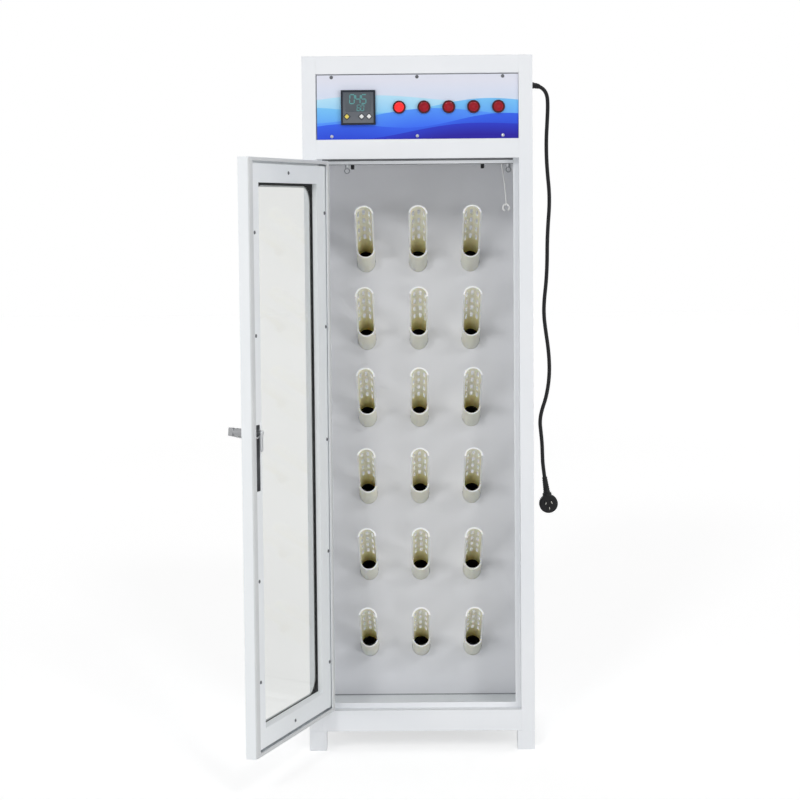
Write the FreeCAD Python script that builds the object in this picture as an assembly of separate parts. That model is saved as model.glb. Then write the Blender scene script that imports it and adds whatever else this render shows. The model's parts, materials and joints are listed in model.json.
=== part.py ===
import FreeCAD, Part
import math
import os

V = FreeCAD.Vector
X_AXIS = V(1, 0, 0)
Y_AXIS = V(0, 1, 0)
Z_AXIS = V(0, 0, 1)

# Case, in millimetres: X to the right, Y to the back, Z up from the underside of the base
body_width = 600.0
body_depth = 450.0
body_height = 1783.0
sheet = 1.2
stile_width = 36.0
bottom_rail_height = 56.0
mid_rail_height = 50.0
control_opening_height = 170.0
top_rail_height = 44.8
rebate_depth = 30.0
stop_lip = 14.0
fold = 14.0
leg_height = 52.0
leg_size = 46.0
leg_wall = 2.0
leg_sole = 3.0
floor_height = 20.0
ceiling_rise = 23.0
air_space_depth = 120.0

# Clearances
running_fit = 0.05
screw_fit = 0.05
slide_fit = 0.3
leg_gap = 0.5
cut_over = 2.0

# Control panel
panel_recess = 5.0
panel_thickness = 1.5
panel_gap = 0.5
panel_lip = 16.0
panel_screw_inset = 8.5
panel_screw_span = 446.0
screw_head_radius = 3.8
screw_head_height = 2.2
screw_shank_radius = 1.9
screw_length = 8.0

# Temperature controller and its three diamond keys
controller_size = 90.0
controller_x = -153.5
controls_above_opening = 83.0
controller_bezel_depth = 9.0
controller_rim = 5.0
controller_face_recess = 1.5
controller_body_size = 84.0
controller_body_depth = 72.0
key_half_diagonal = 6.5
key_stand = 1.2
key_depth = 4.0
key_travel = 0.8
key_drop = 23.3
key_offsets = (-29.6, 8.7, 28.0)

# Push buttons
button_count = 5
first_button_x = -47.0
button_pitch = 64.6
bezel_radius = 17.0
bezel_floor = 1.2
button_body_radius = 11.0
button_body_length = 40.0
button_nut_radius = 14.0
button_nut_height = 6.0
cap_radius = 12.8
cap_thickness = 3.0
cap_stand = 2.0
cap_stem_radius = 6.9
cap_stem_length = 16.0
button_travel = 3.0

# Door
door_side_gap = 3.0
door_end_gap = 5.5
door_thickness = 26.0
door_open_angle = 109.0
hinge_side_lip = 14.0
free_side_lip = 24.0
end_lip = 9.0
end_groove = 5.0
inner_panel_recess = 4.0
inner_panel_fit = 0.5
inner_stile = 72.0
inner_rail = 60.0
outer_window_step = 10.0
window_corner = 40.0
glass_thickness = 5.0
glass_cover = 6.0
gasket_thickness = 1.5
door_screw_side_inset_hinge = 21.0
door_screw_end_inset = 35.0
door_screw_corner_inset = 135.0
door_screw_spaces = 4
free_screw_corner_inset = 180.0
free_screw_pitch = 247.5

# Hinges
hinge_proud = 6.0
hinge_inset = 118.5
hinge_height = 80.0
knuckle_radius = 4.5
knuckle_gap = 0.5
pin_radius = 2.2
leaf_gap = 0.6
leaf_depth = 22.0

# Lock and lever handle, with the spindle set from the free edge and the middle of the door
spindle_from_edge = 45.0
spindle_above_middle = 64.5
spindle_radius = 6.0
lock_slot_width = 33.0
lock_slot_above = 18.0
lock_slot_below = 143.0
lock_body_margin = 2.5
lock_body_wall = 2.0
lock_guide_width = 7.0
lock_guide_height = 5.0
rose_radius = 19.0
rose_height = 6.0
boss_radius = 9.5
handle_stand = 50.0
lever_length = 115.0
lever_heel = 10.0
lever_height = 20.0
lever_thickness = 12.0
lever_droop = 11.0
cam_clearance = 0.8
cam_length = 46.0
cam_width = 12.0
cam_thickness = 3.0
cam_screw_radius = 5.0
cam_screw_height = 2.5

# Drying tubes on their sockets
tube_radius = 25.0
tube_wall = 3.0
tube_tilt = 28.0
tube_column_pitch = 144.0
tube_rows = 6
tube_columns = 3
bottom_row_height = 161.0
top_row_below_opening = 276.0
tube_behind = 38.0
tube_shoulder = 72.0
tube_reach = 283.0
tube_hole_gap = 0.6
slot_width = 8.0
slot_length = 28.0
slot_first = 113.0
slot_pitch = 46.5
slot_rows = 4
slot_spread = 45.0
stub_wall = 2.0
stub_front = 19.0
socket_wall = 2.4
socket_floor = 3.0
socket_flange = 8.0
socket_flange_thickness = 2.0
# How far each tube is turned by hand on its stub, in degrees, row by row from the top
tube_twists = ((4, -6, 3), (12, -12, 0), (-3, 5, 4), (-10, 3, 0), (2, -4, 11), (-9, 6, 5))

# Blower, in the compartment over the ceiling
scroll_radius = 85.0
scroll_width = 80.0
scroll_wall = 1.5
scroll_lift = 6.0
outlet_depth = 70.0
outlet_back_gap = 29.0
inlet_radius = 45.0
motor_radius = 42.0
motor_length = 65.0
shaft_radius = 4.0
shaft_hole_gap = 2.0
shaft_in_motor = 50.0
impeller_radius = 62.0
impeller_width = 47.0
blade_depth = 14.0
blade_thickness = 1.5
blade_count = 24
impeller_disc = 2.0
hub_radius = 12.0
hub_length = 25.0

# Finned heater under the blower outlet
heater_length = 150.0
heater_plate = 1.5
heater_plate_height = 70.0
heater_plate_depth = 90.0
heater_rod_radius = 4.0
heater_rod_overhang = 15.0
heater_rod_spacing = 28.0
heater_rod_count = 3
heater_rod_drop = 40.0
fin_radius = 11.0
fin_thickness = 1.0
fin_pitch = 7.0

# Ceiling lamp, return grille and back air slots
lamp_radius = 8.0
lamp_length = 342.0
lamp_drop = 22.0
lamp_y = -25.0
holder_thickness = 9.0
holder_height = 46.0
holder_depth = 32.0
grille_slot_length = 110.0
grille_slot_width = 6.0
grille_slot_count = 14
grille_slot_pitch = 16.0
grille_y = -125.0
vent_slot_length = 110.0
vent_slot_width = 5.0
vent_slot_pitch = 14.0
vent_rows = 8
vent_columns = 3
vent_column_pitch = 150.0
vent_below_top = 60.0
back_screw_inset = 8.0
back_screw_rows = 4

# Power cord, gland and plug
cord_radius = 5.25
gland_radius = 9.0
gland_flange_radius = 12.0
gland_stand = 8.0
gland_nut = 6.0
gland_below_top = 66.0
plug_radius = 25.5
plug_thickness = 24.0
plug_tilt = 8.0
boot_length = 48.0
boot_top_radius = 7.0
boot_base_radius = 10.0
pin_length = 18.0
pin_width = 6.3
pin_thickness = 1.8
# Sideways and upward place of each flat pin on the face, and how far it leans
pin_places = ((-7.9, 4.6, 30.0), (7.9, 4.6, -30.0), (0.0, -9.5, 0.0))

# The cord hangs at the right side: how far out from the gland and how far below it, down to the plug
cord_y = 0.0
cord_route = (
    (0.0, 0.0), (18.0, 0.5), (35.5, 10.0), (45.2, 27.5), (46.5, 57.0), (44.8, 95.0),
    (42.0, 142.0), (42.2, 195.0), (45.5, 245.0), (49.6, 287.0), (49.6, 329.0), (46.2, 372.0),
    (43.6, 422.0), (43.2, 477.0), (40.5, 532.0), (34.8, 580.0), (33.4, 622.0), (38.6, 667.0),
    (45.2, 712.0), (48.6, 757.0), (47.2, 802.0), (39.0, 849.0), (26.8, 884.0), (21.4, 914.0),
    (24.6, 945.0), (27.6, 977.0), (28.4, 1009.0), (29.6, 1036.5), (34.05, 1068.2),
)

# The sensor lead ends in an open ring: its X, and how far it hangs below the ceiling
lead_radius = 1.8
lead_y = -110.0
lead_route = (
    (220.6, 0.0), (222.7, 28.0), (226.9, 60.0), (231.6, 93.0), (234.8, 122.0), (235.9, 144.0),
)
ring_radius = 8.5
ring_wire_radius = 2.4
ring_gap_angle = 50.0

# Places that follow from the sizes above
half_width = body_width / 2
front = -body_depth / 2
back = body_depth / 2
inside = half_width - sheet
case_top = body_height - sheet
opening_half = half_width - stile_width
sill = bottom_rail_height
control_top = case_top - top_rail_height
control_bottom = control_top - control_opening_height
opening_top = control_bottom - mid_rail_height
stop_y = front + rebate_depth
stop_back = stop_y + sheet
panel_front = front + panel_recess
panel_back = panel_front + panel_thickness
controls_z = control_bottom + controls_above_opening
bezel_stand = cap_thickness - cap_stand + button_travel + slide_fit + bezel_floor
ceiling = opening_top + ceiling_rise
ceiling_top = ceiling + sheet
tube_panel_front = back - air_space_depth
tube_panel_back = tube_panel_front + sheet
top_row_height = opening_top - top_row_below_opening
tube_row_pitch = (top_row_height - bottom_row_height) / (tube_rows - 1)
flange_y = back - 2 * sheet
door_left = -opening_half + door_side_gap
door_right = opening_half - door_side_gap
door_bottom = sill + door_end_gap
door_top = opening_top - door_end_gap
door_middle = (door_bottom + door_top) / 2
door_inner = front + door_thickness
inner_face = door_inner - inner_panel_recess
inner_back = inner_face - sheet
glass_front = front + sheet + gasket_thickness
glass_back = glass_front + glass_thickness
hinge_x = -opening_half + door_side_gap / 2
hinge_y = front - hinge_proud
hinge_heights = (door_bottom + hinge_inset, door_middle, door_top - hinge_inset)
spindle_x = door_right - spindle_from_edge
spindle_height = door_middle + spindle_above_middle
door_screw_pitch = (door_top - door_bottom - 2 * door_screw_corner_inset) / door_screw_spaces
cam_front = stop_back + cam_clearance
blower_back = flange_y - outlet_back_gap
blower_y = blower_back - scroll_radius
blower_z = ceiling_top + scroll_lift + scroll_radius
outlet_front = blower_back - outlet_depth
gland_height = body_height - gland_below_top
cord_points = [V(half_width + gland_stand + out, cord_y, gland_height - drop) for out, drop in cord_route]
lead_points = [V(x, lead_y, ceiling - drop) for x, drop in lead_route]


def box(x0, x1, y0, y1, z0, z1):
    low = V(min(x0, x1), min(y0, y1), min(z0, z1))
    return Part.makeBox(abs(x1 - x0), abs(y1 - y0), abs(z1 - z0), low)


def rod(base, axis, radius, length):
    return Part.makeCylinder(radius, length, base, axis)


def fused(shapes):
    first, *rest = shapes
    return first.multiFuse(rest).removeSplitter() if rest else first


def group(shapes):
    return Part.makeCompound(shapes)


def mirrored(shape):
    return shape.mirror(V(0, 0, 0), X_AXIS)


def swung(shape):
    """The door is modelled shut and turned open about its hinge pins."""
    turned = shape.copy()
    turned.rotate(V(hinge_x, hinge_y, 0), Z_AXIS, -door_open_angle)
    return turned


def rounded_window(x0, x1, y0, y1, z0, z1, radius):
    window = box(x0, x1, y0, y1, z0, z1)
    corners = [e for e in window.Edges if e.Length > 0 and abs(e.tangentAt(e.FirstParameter).y) > 0.99]
    return window.makeFillet(radius, corners)


def screw(seat, axis):
    head = rod(seat, axis, screw_head_radius, screw_head_height)
    shank = rod(seat, axis * -1, screw_shank_radius, screw_length)
    return fused([head, shank])


def screw_hole(seat, axis):
    return rod(seat + axis * cut_over, axis * -1, screw_shank_radius + screw_fit, screw_length + 2 * cut_over)


def panel_screw_seats():
    offsets = (-panel_screw_span / 2, 0, panel_screw_span / 2)
    heights = (control_bottom + panel_screw_inset, control_top - panel_screw_inset)
    return [V(x, panel_front, z) for z in heights for x in offsets]


def back_screw_seats():
    step = (case_top - 2 * fold) / (back_screw_rows - 1)
    side = half_width - back_screw_inset
    return [V(x, back, fold + step * i) for i in range(back_screw_rows) for x in (-side, side)]


def door_screw_seats():
    seats = []
    for i in range(door_screw_spaces + 1):
        z = door_bottom + door_screw_corner_inset + i * door_screw_pitch
        seats.append(V(door_left + door_screw_side_inset_hinge, inner_face, z))
    for inset in (free_screw_corner_inset, free_screw_corner_inset + free_screw_pitch):
        seats += [V(spindle_x, inner_face, z) for z in (door_bottom + inset, door_top - inset)]
    seats.append(V(0, inner_face, door_top - door_screw_end_inset))
    seats.append(V(0, inner_face, door_bottom + door_screw_end_inset))
    return seats


# Case


def side_panel_left():
    wall = box(-half_width, -inside, front + sheet, back - sheet, 0, case_top)
    flange = box(-half_width, -half_width + fold, flange_y, back - sheet, 0, case_top)
    return fused([wall, flange]).cut(group([screw_hole(s, Y_AXIS) for s in back_screw_seats()]))


def side_panel_right():
    hole = rod(V(inside - cut_over, cord_y, gland_height), X_AXIS, gland_radius + screw_fit, 3 * cut_over)
    return mirrored(side_panel_left()).cut(hole)


def stile():
    """One folded upright: its face, the jamb beside the door and the lip that stops the door."""
    face = box(-half_width, -opening_half, front, front + sheet, 0, case_top)
    jamb = box(-opening_half - sheet, -opening_half, front, stop_back, 0, case_top)
    lip = box(-opening_half - sheet, -opening_half + stop_lip, stop_y, stop_back, 0, case_top)
    return fused([face, jamb, lip])


def rail_face(bottom, top):
    return box(-opening_half, opening_half, front, front + sheet, bottom, top)


def rail_fold(z0, z1, depth):
    return box(-opening_half, opening_half, front, front + depth, z0, z1)


def top_rail():
    ledge = panel_back + sheet - front
    lip = box(-opening_half, opening_half, panel_back, panel_back + sheet, control_top - panel_lip, control_top)
    parts = [
        rail_face(control_top, case_top),
        rail_fold(control_top, control_top + sheet, ledge),
        rail_fold(case_top - sheet, case_top, rebate_depth),
        lip,
    ]
    return fused(parts).cut(group([screw_hole(s, Y_AXIS * -1) for s in panel_screw_seats()]))


def mid_rail():
    ledge = panel_back + sheet - front
    lip_top = control_bottom + panel_lip
    side = opening_half - stop_lip
    parts = [
        rail_face(opening_top, control_bottom),
        rail_fold(control_bottom - sheet, control_bottom, ledge),
        rail_fold(opening_top, opening_top + sheet, rebate_depth),
        box(-opening_half, opening_half, panel_back, panel_back + sheet, control_bottom - sheet, lip_top),
        box(-side, side, stop_y, stop_back, opening_top - stop_lip, ceiling_top + fold),
    ]
    return fused(parts).cut(group([screw_hole(s, Y_AXIS * -1) for s in panel_screw_seats()]))


def bottom_rail():
    side = opening_half - stop_lip
    parts = [
        rail_face(0, sill),
        rail_fold(sill - sheet, sill, rebate_depth),
        rail_fold(0, sheet, rebate_depth),
        box(-side, side, stop_y, stop_back, 0, sill + stop_lip),
    ]
    return fused(parts)


def front_frame():
    return group([stile(), mirrored(stile()), top_rail(), mid_rail(), bottom_rail()])


def top_panel():
    plate = box(-half_width, half_width, front, back, case_top, body_height)
    fold_y = (stop_back + fold, flange_y - fold)
    folds = [box(s * inside, s * (inside - sheet), *fold_y, case_top - fold, case_top) for s in (-1, 1)]
    return fused([plate] + folds)


def back_cover():
    plate = box(-half_width, half_width, back - sheet, back, 0, case_top)
    slots = []
    for column in range(vent_columns):
        x = (column - (vent_columns - 1) / 2) * vent_column_pitch
        for row in range(vent_rows):
            z = case_top - vent_below_top - row * vent_slot_pitch
            half = vent_slot_length / 2
            slots.append(box(x - half, x + half, back - sheet - 1, back + 1, z, z + vent_slot_width))
    holes = [screw_hole(s, Y_AXIS) for s in back_screw_seats()]
    return plate.cut(group(slots + holes))


def base_box():
    """Double floor: the underside is notched round the legs and the upper skin is the chamber floor."""
    outer = box(-inside, inside, stop_back, flange_y, 0, floor_height)
    hollow = box(-inside + sheet, inside - sheet, stop_back + sheet, back, sheet, floor_height - sheet)
    reach = leg_size + leg_gap
    notches = [box(x - leg_gap, x + reach, y - leg_gap, y + reach, -1, sheet) for x, y in leg_corners()]
    return outer.cut(group([hollow] + notches))


def leg_corners():
    return [(x, y) for x in (-half_width, half_width - leg_size) for y in (front, back - leg_size)]


def legs():
    made = []
    for x, y in leg_corners():
        outer = box(x, x + leg_size, y, y + leg_size, -leg_height, 0)
        bore_x = (x + leg_wall, x + leg_size - leg_wall)
        bore_y = (y + leg_wall, y + leg_size - leg_wall)
        made.append(outer.cut(box(*bore_x, *bore_y, leg_sole - leg_height, 1)))
    return group(made)


def ceiling_plate():
    plate = box(-inside, inside, stop_back, flange_y, ceiling, ceiling_top)
    parts = [plate, box(-inside, inside, stop_back, stop_back + sheet, ceiling, ceiling_top + fold)]
    for s in (-1, 1):
        parts.append(box(s * inside, s * (inside - sheet), stop_back, flange_y, ceiling, ceiling_top + fold))
    half = scroll_width / 2 - scroll_wall
    through = (ceiling - 1, ceiling_top + 1)
    cuts = [box(-half, half, outlet_front + scroll_wall, blower_back - scroll_wall, *through)]
    for i in range(grille_slot_count):
        x = (i - (grille_slot_count - 1) / 2) * grille_slot_pitch
        y0 = grille_y - grille_slot_length / 2
        cuts.append(box(x, x + grille_slot_width, y0, y0 + grille_slot_length, *through))
    return fused(parts).cut(group(cuts))


# Drying tubes: each is made upright along Z with its covered side towards Y, then tilted


def tube_places():
    places = []
    for row in range(tube_rows):
        for column in range(tube_columns):
            x = (column - (tube_columns - 1) / 2) * tube_column_pitch
            z = top_row_height - row * tube_row_pitch
            places.append((row, column, V(x, tube_panel_front, z)))
    return places


def tilted(shape, place):
    moved = shape.copy()
    moved.rotate(V(0, 0, 0), X_AXIS, 90 - tube_tilt)
    moved.translate(place)
    return moved


def tube_slot(height, angle):
    """A slot with round ends through the covered side."""
    straight = slot_length - slot_width
    deep = tube_radius + cut_over
    half = slot_width / 2
    middle = box(-half, half, 0, deep, height - straight / 2, height + straight / 2)
    ends = [rod(V(0, 0, height + s * straight / 2), Y_AXIS, half, deep) for s in (-1, 1)]
    cutter = fused([middle] + ends)
    cutter.rotate(V(0, 0, 0), Z_AXIS, angle)
    return cutter


def drying_tube():
    length = tube_behind + tube_reach
    outer = rod(V(0, 0, -tube_behind), Z_AXIS, tube_radius, length)
    bore = rod(V(0, 0, -tube_behind - 1), Z_AXIS, tube_radius - tube_wall, length + 2)
    wide = tube_radius + cut_over
    mouth = box(-wide, wide, -wide, 0, tube_shoulder, tube_reach + cut_over)
    slots = []
    for i in range(slot_rows):
        for angle in (-slot_spread, 0, slot_spread):
            slots.append(tube_slot(slot_first + i * slot_pitch, angle))
    return outer.cut(group([bore, mouth] + slots))


def tube_socket():
    """A cup behind the panel, with the stub that the tube is pushed on."""
    stub_radius = tube_radius - tube_wall - running_fit
    cup_bore = tube_radius + tube_hole_gap
    cup_radius = cup_bore + socket_wall
    seat = -tube_behind - slide_fit
    foot = seat - socket_floor
    far = tube_reach
    stub = rod(V(0, 0, foot), Z_AXIS, stub_radius, stub_front - foot)
    floor = rod(V(0, 0, foot), Z_AXIS, cup_radius, socket_floor)
    cup = rod(V(0, 0, foot), Z_AXIS, cup_radius, far).cut(rod(V(0, 0, foot), Z_AXIS, cup_bore, far))
    plate = rod(V(0, 0, -far), Z_AXIS, cup_radius + socket_flange, 2 * far)
    plate = plate.cut(rod(V(0, 0, -far), Z_AXIS, cup_bore, 2 * far))
    here = V(0, tube_panel_front, 0)
    behind = box(-far, far, tube_panel_back, back, -far, far)
    slab = box(-far, far, tube_panel_back, tube_panel_back + socket_flange_thickness, -far, far)
    air = tilted(rod(V(0, 0, foot - 1), Z_AXIS, stub_radius - stub_wall, far), here)
    body = [tilted(stub, here), tilted(floor, here)]
    body += [tilted(cup, here).common(behind), tilted(plate, here).common(slab)]
    return fused(body).cut(air)


def tube_sockets():
    one = tube_socket()
    made = []
    for row, column, place in tube_places():
        copy = one.copy()
        copy.translate(V(place.x, 0, place.z))
        made.append(copy)
    return group(made)


def tube_panel():
    plate = box(-inside, inside, tube_panel_front, tube_panel_back, floor_height, ceiling)
    folds = []
    for s in (-1, 1):
        edge = (s * inside, s * (inside - sheet))
        folds.append(box(*edge, tube_panel_front, tube_panel_back + fold, floor_height, ceiling))
    hole = rod(V(0, 0, -tube_reach), Z_AXIS, tube_radius + tube_hole_gap, 2 * tube_reach)
    holes = [tilted(hole, place) for row, column, place in tube_places()]
    return fused([plate] + folds).cut(group(holes))


# Controls


def control_panel():
    side = opening_half - panel_gap
    plate = box(-side, side, panel_front, panel_back, control_bottom + panel_gap, control_top - panel_gap)
    half = controller_body_size / 2 + panel_gap
    window_x = (controller_x - half, controller_x + half)
    cuts = [box(*window_x, panel_front - 1, panel_back + 1, controls_z - half, controls_z + half)]
    cuts += [rod(V(x, panel_front - 1, controls_z), Y_AXIS, button_body_radius + slide_fit, panel_thickness + 2)
             for x in button_places()]
    cuts += [screw_hole(s, Y_AXIS * -1) for s in panel_screw_seats()]
    return plate.cut(group(cuts))


def case_screws():
    panel = [screw(s, Y_AXIS * -1) for s in panel_screw_seats()]
    return group(panel + [screw(s, Y_AXIS) for s in back_screw_seats()])


def diamond(x, z, half, y0, depth):
    points = [V(x - half, y0, z), V(x, y0, z - half), V(x + half, y0, z), V(x, y0, z + half), V(x - half, y0, z)]
    return Part.Face(Part.makePolygon(points)).extrude(V(0, depth, 0))


def key_places():
    return [(controller_x + offset, controls_z - key_drop) for offset in key_offsets]


def controller_face():
    return panel_front - controller_bezel_depth + controller_face_recess


def controller_case():
    half = controller_size / 2
    around_x = (controller_x - half, controller_x + half)
    bezel = box(*around_x, panel_front - controller_bezel_depth, panel_front, controls_z - half, controls_z + half)
    inner = half - controller_rim
    face_x = (controller_x - inner, controller_x + inner)
    face_z = (controls_z - inner, controls_z + inner)
    pocket = box(*face_x, panel_front - controller_bezel_depth - 1, controller_face(), *face_z)
    slim = controller_body_size / 2
    body_x = (controller_x - slim, controller_x + slim)
    body = box(*body_x, panel_front, panel_front + controller_body_depth, controls_z - slim, controls_z + slim)
    deep = key_depth - key_stand + key_travel + slide_fit
    wells = [diamond(x, z, key_half_diagonal + 2 * slide_fit, controller_face() - 1, deep + 1)
             for x, z in key_places()]
    return fused([bezel, body]).cut(group([pocket] + wells))


def controller_key(x, z):
    return diamond(x, z, key_half_diagonal, controller_face() - key_stand, key_depth)


def button_places():
    return [first_button_x + i * button_pitch for i in range(button_count)]


def cap_well():
    """The cap's back stops just short of this face when it is pressed."""
    return panel_front - bezel_stand + cap_thickness - cap_stand + button_travel + slide_fit


def button_body(x):
    here = V(x, 0, controls_z)
    bezel = rod(here + V(0, panel_front - bezel_stand, 0), Y_AXIS, bezel_radius, bezel_stand)
    barrel = rod(here + V(0, panel_front, 0), Y_AXIS, button_body_radius, button_body_length)
    nut = rod(here + V(0, panel_back, 0), Y_AXIS, button_nut_radius, button_nut_height)
    front_y = panel_front - bezel_stand
    well = rod(here + V(0, front_y - 1, 0), Y_AXIS, cap_radius + slide_fit, cap_well() - front_y + 1)
    deep = cap_stem_length + button_travel + 1
    bore = rod(here + V(0, front_y, 0), Y_AXIS, cap_stem_radius + running_fit, cap_thickness + deep)
    return fused([bezel, barrel, nut]).cut(group([well, bore]))


def button_cap(x):
    face = V(x, panel_front - bezel_stand - cap_stand, controls_z)
    disc = rod(face, Y_AXIS, cap_radius, cap_thickness)
    stem = rod(face + V(0, cap_thickness, 0), Y_AXIS, cap_stem_radius, cap_stem_length)
    return fused([disc, stem])


# Door, modelled shut


def outer_window():
    side = inner_stile + outer_window_step
    end = inner_rail + outer_window_step
    return door_left + side, door_right - side, door_bottom + end, door_top - end


def inner_window():
    return door_left + inner_stile, door_right - inner_stile, door_bottom + inner_rail, door_top - inner_rail


def door_skin():
    outer = box(door_left, door_right, front, door_inner, door_bottom, door_top)
    left, right = door_left + sheet, door_right - sheet
    hollow = box(left, right, front + sheet, door_inner - sheet, door_bottom + sheet, door_top - sheet)
    mouth_x = (door_left + hinge_side_lip, door_right - free_side_lip)
    mouth = box(*mouth_x, inner_face, door_inner + 1, door_bottom + end_lip, door_top - end_lip)
    x0, x1, z0, z1 = outer_window()
    window = rounded_window(x0, x1, front - cut_over, front + sheet + 1, z0, z1, window_corner)
    hole = rod(V(spindle_x, front - 1, spindle_height), Y_AXIS, spindle_radius + slide_fit, sheet + 2)
    return outer.cut(group([hollow, mouth, window, hole]))


def door_inner_panel():
    side, end = sheet + inner_panel_fit, end_lip + end_groove
    x0, x1 = door_left + side, door_right - side
    z0, z1 = door_bottom + end, door_top - end
    pan = box(x0, x1, front + sheet, inner_face, z0, z1)
    pan = pan.cut(box(x0 + sheet, x1 - sheet, front, inner_back, z0 + sheet, z1 - sheet))
    wx0, wx1, wz0, wz1 = inner_window()
    reveal_front = glass_back + gasket_thickness
    reveal = box(wx0 - sheet, wx1 + sheet, reveal_front, inner_face, wz0 - sheet, wz1 + sheet)
    window = box(wx0, wx1, front, door_inner, wz0, wz1)
    half = lock_slot_width / 2
    slot_z = (spindle_height - lock_slot_below, spindle_height + lock_slot_above)
    slot = box(spindle_x - half, spindle_x + half, inner_back - 1, inner_face + 1, *slot_z)
    holes = [screw_hole(s, Y_AXIS) for s in door_screw_seats()]
    return fused([pan, reveal]).cut(group([window, slot] + holes))


def door_glass():
    x0, x1, z0, z1 = inner_window()
    grow = glass_cover
    return box(x0 - grow, x1 + grow, glass_front, glass_back, z0 - grow, z1 + grow)


def glass_gasket():
    """A rubber channel round the edge of the glass."""
    x0, x1, z0, z1 = inner_window()
    grow = glass_cover + gasket_thickness
    back_y = glass_back + gasket_thickness
    channel = box(x0 - grow, x1 + grow, front + sheet, back_y, z0 - grow, z1 + grow)
    wx0, wx1, wz0, wz1 = outer_window()
    window = rounded_window(wx0, wx1, front, back_y + cut_over, wz0, wz1, window_corner)
    return channel.cut(group([door_glass(), window]))


def door_screws():
    return group([screw(s, Y_AXIS) for s in door_screw_seats()])


def lock_body():
    """The case of the lock inside the door, and the rose outside it."""
    half = lock_slot_width / 2 + lock_body_margin
    z0 = spindle_height - lock_slot_below - lock_body_margin
    z1 = spindle_height + lock_slot_above + lock_body_margin
    wall = lock_body_wall
    back_y = front + sheet
    case = box(spindle_x - half, spindle_x + half, back_y, inner_back, z0, z1)
    room = box(spindle_x - half + wall, spindle_x + half - wall, back_y + wall, inner_back + 1, z0 + wall, z1 - wall)
    guide_x = (spindle_x - lock_guide_width / 2, spindle_x + lock_guide_width / 2)
    guide_top = spindle_height - boss_radius - lock_guide_width
    guide = box(*guide_x, back_y, back_y + wall + lock_guide_height, z0, guide_top)
    bore = rod(V(spindle_x, front, spindle_height), Y_AXIS, spindle_radius + running_fit, door_thickness)
    rose = rod(V(spindle_x, front - rose_height, spindle_height), Y_AXIS, rose_radius, rose_height)
    boss_bore = rod(V(spindle_x, front - rose_height - 1, spindle_height), Y_AXIS, boss_radius + running_fit,
                    rose_height + 2)
    return group([fused([case.cut(room), guide]).cut(bore), rose.cut(boss_bore)])


def handle_lever():
    tip = front - handle_stand
    place = V(spindle_x, tip, spindle_height)
    boss = rod(place, Y_AXIS, boss_radius, handle_stand - slide_fit)
    spindle = rod(place, Y_AXIS, spindle_radius, cam_front - tip)
    half = lever_height / 2
    arm_x = (spindle_x - lever_length, spindle_x + lever_heel)
    arm = box(*arm_x, tip, tip + lever_thickness, spindle_height - half, spindle_height + half)
    arm_end = rod(place - V(lever_length, 0, 0), Y_AXIS, half, lever_thickness)
    arm = fused([arm, arm_end])
    arm.rotate(place, Y_AXIS, -lever_droop)
    return fused([boss, spindle, arm])


def lock_cam():
    """The cam hangs down when the door is free, and turns behind the stop lip to hold it shut."""
    hub_place = V(spindle_x, cam_front, spindle_height)
    half = cam_width / 2
    arm_z = (spindle_height - cam_length + half, spindle_height)
    arm = box(spindle_x - half, spindle_x + half, cam_front, cam_front + cam_thickness, *arm_z)
    ends = [rod(hub_place - V(0, 0, drop), Y_AXIS, half, cam_thickness) for drop in (0, cam_length - half)]
    head = rod(hub_place + V(0, cam_thickness, 0), Y_AXIS, cam_screw_radius, cam_screw_height)
    return fused([arm, head] + ends)


# Hinges


def knuckle_spans(bottom):
    """Bottom and top of the three knuckles of one hinge."""
    step = hinge_height / 3
    gap = knuckle_gap / 2
    low = (bottom, bottom + step - gap)
    middle = (bottom + step + gap, bottom + 2 * step - gap)
    high = (bottom + 2 * step + gap, bottom + hinge_height)
    return low, middle, high


def knuckle(span, radius):
    return rod(V(hinge_x, hinge_y, span[0]), Z_AXIS, radius, span[1] - span[0])


def leaf(x_edge, bottom):
    thick = (door_side_gap - leaf_gap) / 2
    inner = x_edge + thick if x_edge < hinge_x else x_edge - thick
    return box(x_edge, inner, hinge_y, front + leaf_depth, bottom, bottom + hinge_height)


def clear_of(spans):
    grown = [(z0 - knuckle_gap, z1 + knuckle_gap) for z0, z1 in spans]
    return group([knuckle(span, knuckle_radius + knuckle_gap) for span in grown])


def frame_hinge(height):
    bottom = height - hinge_height / 2
    low, middle, high = knuckle_spans(bottom)
    plate = leaf(-opening_half, bottom).cut(clear_of([middle]))
    pin = rod(V(hinge_x, hinge_y, bottom), Z_AXIS, pin_radius, hinge_height)
    return fused([plate, knuckle(low, knuckle_radius), knuckle(high, knuckle_radius), pin])


def door_hinge(height):
    bottom = height - hinge_height / 2
    low, middle, high = knuckle_spans(bottom)
    plate = leaf(door_left, bottom).cut(clear_of([low, high]))
    bore = rod(V(hinge_x, hinge_y, bottom - 1), Z_AXIS, pin_radius + running_fit, hinge_height + 2)
    return fused([plate, knuckle(middle, knuckle_radius)]).cut(bore)


# Blower and heater


def blower_housing():
    half = scroll_width / 2
    place = V(-half, blower_y, blower_z)
    drum = rod(place, X_AXIS, scroll_radius, scroll_width)
    duct = box(-half, half, outlet_front, blower_back, ceiling_top, blower_z)
    slim = half - scroll_wall
    room = rod(V(-slim, blower_y, blower_z), X_AXIS, scroll_radius - scroll_wall, 2 * slim)
    duct_y = (outlet_front + scroll_wall, blower_back - scroll_wall)
    duct_room = box(-slim, slim, *duct_y, ceiling_top - 1, blower_z)
    inlet = rod(V(-half - 1, blower_y, blower_z), X_AXIS, inlet_radius, scroll_wall + 2)
    shaft_hole = rod(V(slim - 1, blower_y, blower_z), X_AXIS, shaft_radius + shaft_hole_gap, scroll_wall + 2)
    return fused([drum, duct]).cut(group([room, duct_room, inlet, shaft_hole]))


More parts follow.
